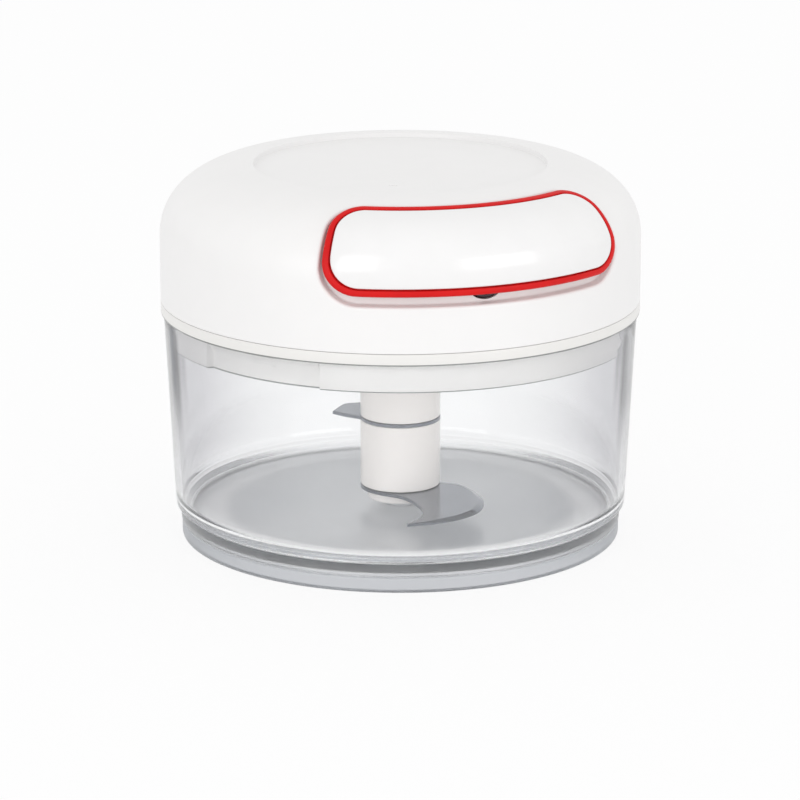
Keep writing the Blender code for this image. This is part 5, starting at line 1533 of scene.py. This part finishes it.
@dataclass
class DriveSpindle(SubAssembly):
    """The spindle with its ratchet wheel and hexagonal end, its bearing bush and its clip."""

    turn: float = math.radians(-20.5) + math.pi / 2
    hex_corner: float = 0.0059
    hex_low: float = 0.0443
    hex_high: float = 0.0555
    groove: float = 0.00461
    journal: float = 0.0060
    journal_low: float = 0.0569
    flange: float = 0.0090
    flange_low: float = 0.0633
    flange_high: float = 0.0641
    neck: float = 0.0075
    wheel_low: float = 0.0685
    wheel_high: float = 0.0720
    wheel_root: float = 0.0093
    wheel_tip: float = 0.0112
    teeth: int = 8
    pilot: float = 0.0050
    pilot_top: float = 0.0795
    bore: float = 0.0028
    bush_inner: float = 0.0063
    bush_outer: float = 0.0080
    bush_low: float = 0.0570
    bush_flange: float = 0.0100
    bush_step: float = 0.0621
    bush_top: float = 0.0630

    def make_spindle(self) -> None:
        """Build the spindle.

        Each row is a radius, a height, and whether it takes a hexagon's radius or that of the wheel,
        which falls from tip to root over each tooth.
        """
        azimuths = around(180, tuple(np.arange(self.teeth) * TAU / self.teeth + math.pi / 2), 0.002)
        corner, shaft, pilot, socket = self.hex_corner, self.journal, self.pilot, self.wheel_low + 0.0002
        rows = [
            (0.0, self.hex_low, 1, 0), (corner - 0.0006, self.hex_low, 1, 0),
            (corner, self.hex_low + 0.0006, 1, 0), (corner, self.hex_high, 1, 0),
            (self.groove, self.hex_high, 0, 0), (self.groove, self.journal_low, 0, 0),
            (shaft - 0.0003, self.journal_low, 0, 0), (shaft, self.journal_low + 0.0003, 0, 0),
            (shaft, self.flange_low, 0, 0), (self.flange, self.flange_low, 0, 0),
            (self.flange, self.flange_high, 0, 0), (self.neck, self.flange_high, 0, 0),
            (self.neck, self.wheel_low, 0, 0), (self.wheel_tip, self.wheel_low, 0, 1),
            (self.wheel_tip, self.wheel_high, 0, 1), (pilot, self.wheel_high, 0, 0),
            (pilot, self.pilot_top - 0.0003, 0, 0), (pilot - 0.0003, self.pilot_top, 0, 0),
            (self.bore, self.pilot_top, 0, 0), (self.bore, socket, 0, 0), (0.0, socket, 0, 0),
        ]
        table = np.array(rows)
        tooth = ((azimuths - math.pi / 2) * self.teeth / TAU) % 1.0
        fall = (self.wheel_tip - self.wheel_root) * tooth
        radius = keyed(table, azimuths, self.turn) - table[:, 3:4] * fall[None]
        spindle = solid("spindle_shaft", Sheet(turned(table[:, :2], azimuths, radius)))
        finish_piece(spindle, REEL_GREY, Body.SPINDLE, "drive_spindle")

    def make_bush(self) -> None:
        """Build the bush."""
        low, step = self.bush_low, self.bush_step
        corners = [
            (self.bush_inner, low, 0.0003), (self.bush_outer, low, 0.0003), (self.bush_outer, step, 0.0001),
            (self.bush_flange, step, 0.0002), (self.bush_flange, self.bush_top, 0.0002),
            (self.bush_inner, self.bush_top, 0.0003),
        ]
        bush = lathe("bearing_bush", corners, 96)
        finish_piece(bush, BEARING_NATURAL, Body.LID, "spindle_bush")

    def make_clip(self) -> None:
        """Dress the clip's CAD node."""
        dress_node("spindle_clip", SPRING_STEEL)


SPLINE_STEPS = 14
LOWER_SHAPE = (
    (
        (10.9, 0.0), (17.5, -2.8), (20.8, -8.0), (22.6, -16.0), (21.3, -25.0), (16.6, -31.8), (10.0, -36.2),
        (1.8, -39.0), (4.8, -34.0), (6.0, -28.5), (4.8, -21.5), (0.8, -14.0), (-6.0, -9.5),
    ),
    (7,),
    (0.4, 7.0),
)
UPPER_SHAPE = (
    (
        (-11.0, -2.0), (-14.8, 0.3), (-18.6, 3.4), (-15.5, 10.8), (-11.2, 12.8), (-10.0, 19.0), (-8.8, 26.5),
        (-4.8, 33.0), (3.2, 38.2), (1.0, 32.5), (0.8, 26.2), (2.6, 19.6), (5.4, 13.8), (8.0, 7.8),
    ),
    (2, 8),
    (3.6, 8.0),
)


@dataclass
class BladeUnit(SubAssembly):
    """The blade column: hub, spacer and collar in glossy white, two ground sickle blades, the keyed core."""

    turn: float = math.radians(-20.5)
    radius: float = 0.01095
    hub_low: float = 0.0323
    hub_high: float = 0.0547
    socket_low: float = 0.0425
    socket_flat: float = 0.005744
    core_corner: float = 0.0056
    core_bore: float = 0.0059
    core_top: float = 0.0402
    pin_bore: float = 0.0028
    pin_bore_top: float = 0.0267
    spacer_low: float = 0.0129
    spacer_high: float = 0.0312
    collar: float = 0.0090
    collar_low: float = 0.0091
    collar_high: float = 0.0116
    lower_blade: float = 0.0119
    upper_blade: float = 0.0313
    thickness: float = 0.0009
    root: float = 0.0110
    grind: float = 0.0017
    edge: float = 0.00018
    bevel: float = 0.00012
    bevel_height: float = 0.0001
    key_play: float = 0.00035
    fade: tuple[float, float] = (1.2, 1.6)

    def make_core(self) -> None:
        """Build the keyed core with the bore that turns on the pin."""
        low, top, corner = self.collar_low, self.core_top, self.core_corner
        bore, bore_top = self.pin_bore, self.pin_bore_top
        rows = [
            (0.0, bore_top, 0), (bore, bore_top, 0), (bore, low, 0), (corner - 0.0003, low, 1),
            (corner, low + 0.0003, 1), (corner, top - 0.0003, 1), (corner - 0.0003, top, 1), (0.0, top, 1),
        ]
        table, azimuths = np.array(rows), around(120)
        radius = keyed(table, azimuths, self.turn + math.pi / 2)
        core = solid("column_core", Sheet(turned(table[:, :2], azimuths, radius)))
        finish_piece(core, BEARING_NATURAL, Body.BLADES, "blade_core")

    def make_hub(self) -> None:
        """Build the hub: turned, with the hexagonal socket on top and the core's bore below."""
        azimuths = around(180)
        corner = self.socket_flat / math.cos(math.pi / 6)
        edge = [
            (self.core_bore, self.hub_low), (self.radius, self.hub_low, 0.0003),
            (self.radius, self.hub_high, 0.0006), (corner + 0.0004, self.hub_high),
        ]
        outer = dense(rounded(edge, closed=False), 0.003, closed=False)
        well = [(corner, self.hub_high - 0.0004), (corner, self.socket_low), (0.0, self.socket_low)]
        under = [(0.0, self.core_top + 0.0003), (self.core_bore, self.core_top + 0.0003)]
        outline = np.concatenate([outer, well, under])
        key = np.zeros((len(outline), 1))
        key[len(outer) - 1 : len(outer) + 2] = 1.0
        radius = keyed(np.hstack([outline, key]), azimuths, self.turn + math.pi / 2)
        hub = solid("column_hub", Sheet(turned(outline, azimuths, radius), ring_rows=True))
        finish_piece(hub, COLUMN_WHITE, Body.BLADES, "blade_hub")

    def make_sleeves(self) -> None:
        """Build the spacer and the collar under the lower blade, with eased edges."""
        for name, node, radius, low, high in (
            ("column_spacer", "blade_spacer", self.radius, self.spacer_low, self.spacer_high),
            ("column_collar", "blade_foot", self.collar, self.collar_low, self.collar_high),
        ):
            corners = sleeve(self.core_bore, radius, low, high, 0.0002, 0.0005, 0.0003, 0.0002)
            finish_piece(lathe(name, corners, 160, 0.003), COLUMN_WHITE, Body.BLADES, node)

    def sickle(self, corners: tuple, sharp: tuple, ground: tuple) -> tuple[Array, Array]:
        """Return a blade's outline and the width of the ground face at each of its points.

        Cubic Hermite splines, with slopes of half the way between neighbours, meet at the sharp corners,
        and an arc closes the root. The ground face widens between two shares of the outline and fades at
        both.

        Args:
            corners: the outline's corners in millimetres, clockwise from the root.
            sharp: the numbers of the corners that stay sharp.
            ground: where the ground face starts and ends, counted in corners.

        Returns:
            The outline's points and their widths.
        """
        points = np.array(corners) * 0.001
        breaks = [0, *sharp, len(points) - 1]
        curve = np.concatenate([hermite(points[i : j + 1]) for i, j in zip(breaks[:-1], breaks[1:])])
        count = np.arange(len(curve)) / SPLINE_STEPS
        rise = smoothstep((count - ground[0]) / self.fade[0])
        width = self.grind * rise * smoothstep((ground[1] - count) / self.fade[1])
        start = math.atan2(points[-1, 1], points[-1, 0])
        end = math.atan2(points[0, 1], points[0, 0])
        angle = np.linspace(start, start - (start - end) % TAU, 64)[:-1]
        arc = self.root * np.column_stack([np.cos(angle), np.sin(angle)])
        return np.concatenate([curve, arc]), np.concatenate([width, np.zeros(len(arc))])

    def add_blade(self, name: str, node: str, low: float, shape: tuple) -> None:
        """Build a blade: a flat plate with a keyed hole and a ground outer edge.

        The wall runs from the underside up to a thin edge, and the ground face from there to an inset of
        the outline at full height.

        Args:
            name: the piece's name.
            node: the CAD node that it stands for.
            low: the underside's height.
            shape: the outline's corners, its sharp corners and its ground stretch.
        """
        outline, widths = self.sickle(*shape)
        ahead = np.roll(outline, -1, 0) - np.roll(outline, 1, 0)
        ahead /= np.linalg.norm(ahead, axis=1)[:, None]
        inward = np.column_stack([ahead[:, 1], -ahead[:, 0]])
        sunk = self.thickness - (self.thickness - self.edge) * np.clip(widths / self.grind, 0.0, 1.0)
        inset = outline + inward * np.maximum(widths, self.bevel)[:, None]
        spin = rotation(self.turn)
        key_angle = self.turn + np.arange(6) * math.pi / 3
        key = (self.core_corner + self.key_play) * np.column_stack([np.cos(key_angle), np.sin(key_angle)])
        high = low + self.thickness
        shoulder = low + np.minimum(sunk, self.thickness - self.bevel_height)
        rings = ((inset, high), (outline, shoulder), (outline, low))
        loops = [np.column_stack([ring @ spin, np.broadcast_to(z, len(ring))]) for ring, z in rings]
        holes = [np.column_stack([key, np.full(6, z)]) for z in (high, low)]
        finish_piece(plate(name, loops, holes), BLADE_STEEL, Body.BLADES, node)

    def make_blades(self) -> None:
        """Build both blades."""
        self.add_blade("blade_low", "blade_lower", self.lower_blade, LOWER_SHAPE)
        self.add_blade("blade_high", "blade_upper", self.upper_blade, UPPER_SHAPE)


def hermite(points: Array) -> Array:
    """Return a cubic Hermite spline through points, without its last one.

    Args:
        points: the points; the slope at each is half of the way between its neighbours.

    Returns:
        The points of the spline.
    """
    padded = np.concatenate([[2 * points[0] - points[1]], points, [2 * points[-1] - points[-2]]])
    slope = (padded[2:] - padded[:-2]) / 2
    share = (np.arange(SPLINE_STEPS) / SPLINE_STEPS)[None, :, None]
    start, end = points[:-1, None], points[1:, None]
    bend = 2 * share**3 - 3 * share**2 + 1
    curve = bend * start + (1 - bend) * end
    curve = curve + (share**3 - 2 * share**2 + share) * slope[:-1, None]
    curve = curve + (share**3 - share**2) * slope[1:, None]
    return curve.reshape(-1, 2)


def plate(name: str, loops: list[Array], holes: list[Array]) -> Piece:
    """Return a plate whose first and last loops are filled, each round its hole.

    Args:
        name: the piece's name.
        loops: outlines from top to bottom, with as many points each.
        holes: the hole's outline at the top and at the bottom.

    Returns:
        The plate.
    """
    piece = solid(name, Sheet(np.stack(loops)), Sheet(np.stack(holes)))
    shape = bmesh.new()
    shape.from_mesh(piece.data)
    middle = 0.5 * (loops[0][0, 2] + loops[-1][0, 2])
    open_edges = [edge for edge in shape.edges if edge.is_boundary]
    for above in (True, False):
        edges = [edge for edge in open_edges if (edge.verts[0].co.z > middle) == above]
        bmesh.ops.triangle_fill(shape, use_beauty=True, edges=edges)
    shape.to_mesh(piece.data)
    shape.free()
    polish(piece.data, GROUND_ANGLE)
    return piece


# The studio


@dataclass
class Studio(SubAssembly):
    """Plain pale floor, soft lamps, white surroundings and the camera at the photograph's angle."""

    floor_radius: float = 3.0
    floor_colour: tuple = (0.88, 0.88, 0.885)
    floor_glow: tuple = (0.88, 0.70, 0.80)
    ambient: float = 0.95
    camera_place: tuple = (-0.3546, -0.9486, 0.3119)
    camera_tilt: float = 0.268
    camera_turn: float = math.radians(-20.5)
    lens: float = 172.6
    shift: tuple = (-0.00075, 0.00966)
    middle: tuple = (0.0, 0.0, 0.06)
    lamps: tuple = (
        ("key_lamp", (-0.98, -0.82, 0.30), 0.9, 3.9),
        ("fill_lamp", (0.52, -1.12, 0.10), 0.8, 3.7),
    )

    def make_camera(self) -> None:
        """Set the camera and the view transform."""
        data = bpy.data.cameras.new("camera")
        data.lens = self.lens
        data.shift_x, data.shift_y = self.shift
        camera = linked("camera", data)
        camera.location = self.camera_place
        camera.rotation_euler = (math.pi / 2 - self.camera_tilt, 0.0, self.camera_turn)
        bpy.context.scene.camera = camera
        bpy.context.scene.view_settings.view_transform = "Standard"

    def make_floor(self) -> None:
        """Build the floor: a disc, partly lit by itself for what is seen, so that its shadow stays faint."""
        outline = np.column_stack([self.floor_radius * np.linspace(0.0, 1.0, 8) ** 2, np.zeros(8)])
        floor = solid("floor", Sheet(turned(outline, around(96))))
        graph = Graph("pale_floor")
        graph.set(Base_Color=(*self.floor_colour, 1.0), Roughness=0.9)
        graph.mixed(graph.rays(self.floor_glow), graph.shader, graph.add("ShaderNodeEmission"), graph.output)
        floor.data.materials.append(graph.material)

    def make_world(self) -> None:
        """Surround the scene with white, at a lower strength for the light that falls on the object."""
        world = bpy.data.worlds.new("white_surroundings")
        bpy.context.scene.world = world
        world.use_nodes = True
        wiring = Wiring(world.node_tree)
        wiring.tree.nodes.clear()
        white = (1.0, 1.0, 1.0, 1.0)
        seen = wiring.add("ShaderNodeBackground", {"Color": white})
        falling = wiring.add("ShaderNodeBackground", {"Color": white, "Strength": self.ambient})
        wiring.mixed(wiring.rays(white[:3]), falling, seen, wiring.add("ShaderNodeOutputWorld"))

    def make_lamps(self) -> None:
        """Hang the square area lamps, each (name, place, side, watts), so that they face the chopper."""
        for name, place, side, watts in self.lamps:
            data = bpy.data.lights.new(name, "AREA")
            data.size = side
            data.energy = watts
            lamp = linked(name, data)
            away = np.array(place) - np.array(self.middle)
            away /= np.linalg.norm(away)
            lamp.location = place
            lamp.rotation_euler = (math.acos(away[2]), 0.0, math.atan2(away[0], -away[1]))


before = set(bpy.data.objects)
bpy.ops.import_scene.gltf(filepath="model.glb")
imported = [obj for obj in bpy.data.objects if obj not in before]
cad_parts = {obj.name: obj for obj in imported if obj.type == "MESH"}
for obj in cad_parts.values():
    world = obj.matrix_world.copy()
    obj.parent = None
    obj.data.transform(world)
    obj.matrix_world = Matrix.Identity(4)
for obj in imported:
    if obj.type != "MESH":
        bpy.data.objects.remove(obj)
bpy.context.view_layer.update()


def main() -> None:
    """Build the studio and every sub-assembly."""
    logging.basicConfig(level=logging.INFO, format="%(name)s %(message)s", force=True)
    lid_parts = (LidBase, DomedCover, PullHandle, CordReel)
    for sub_assembly in (Studio, ClearBowl, *lid_parts, DriveSpindle, BladeUnit):
        sub_assembly().make()
    bpy.context.view_layer.update()


if __name__ == "__main__":
    main()
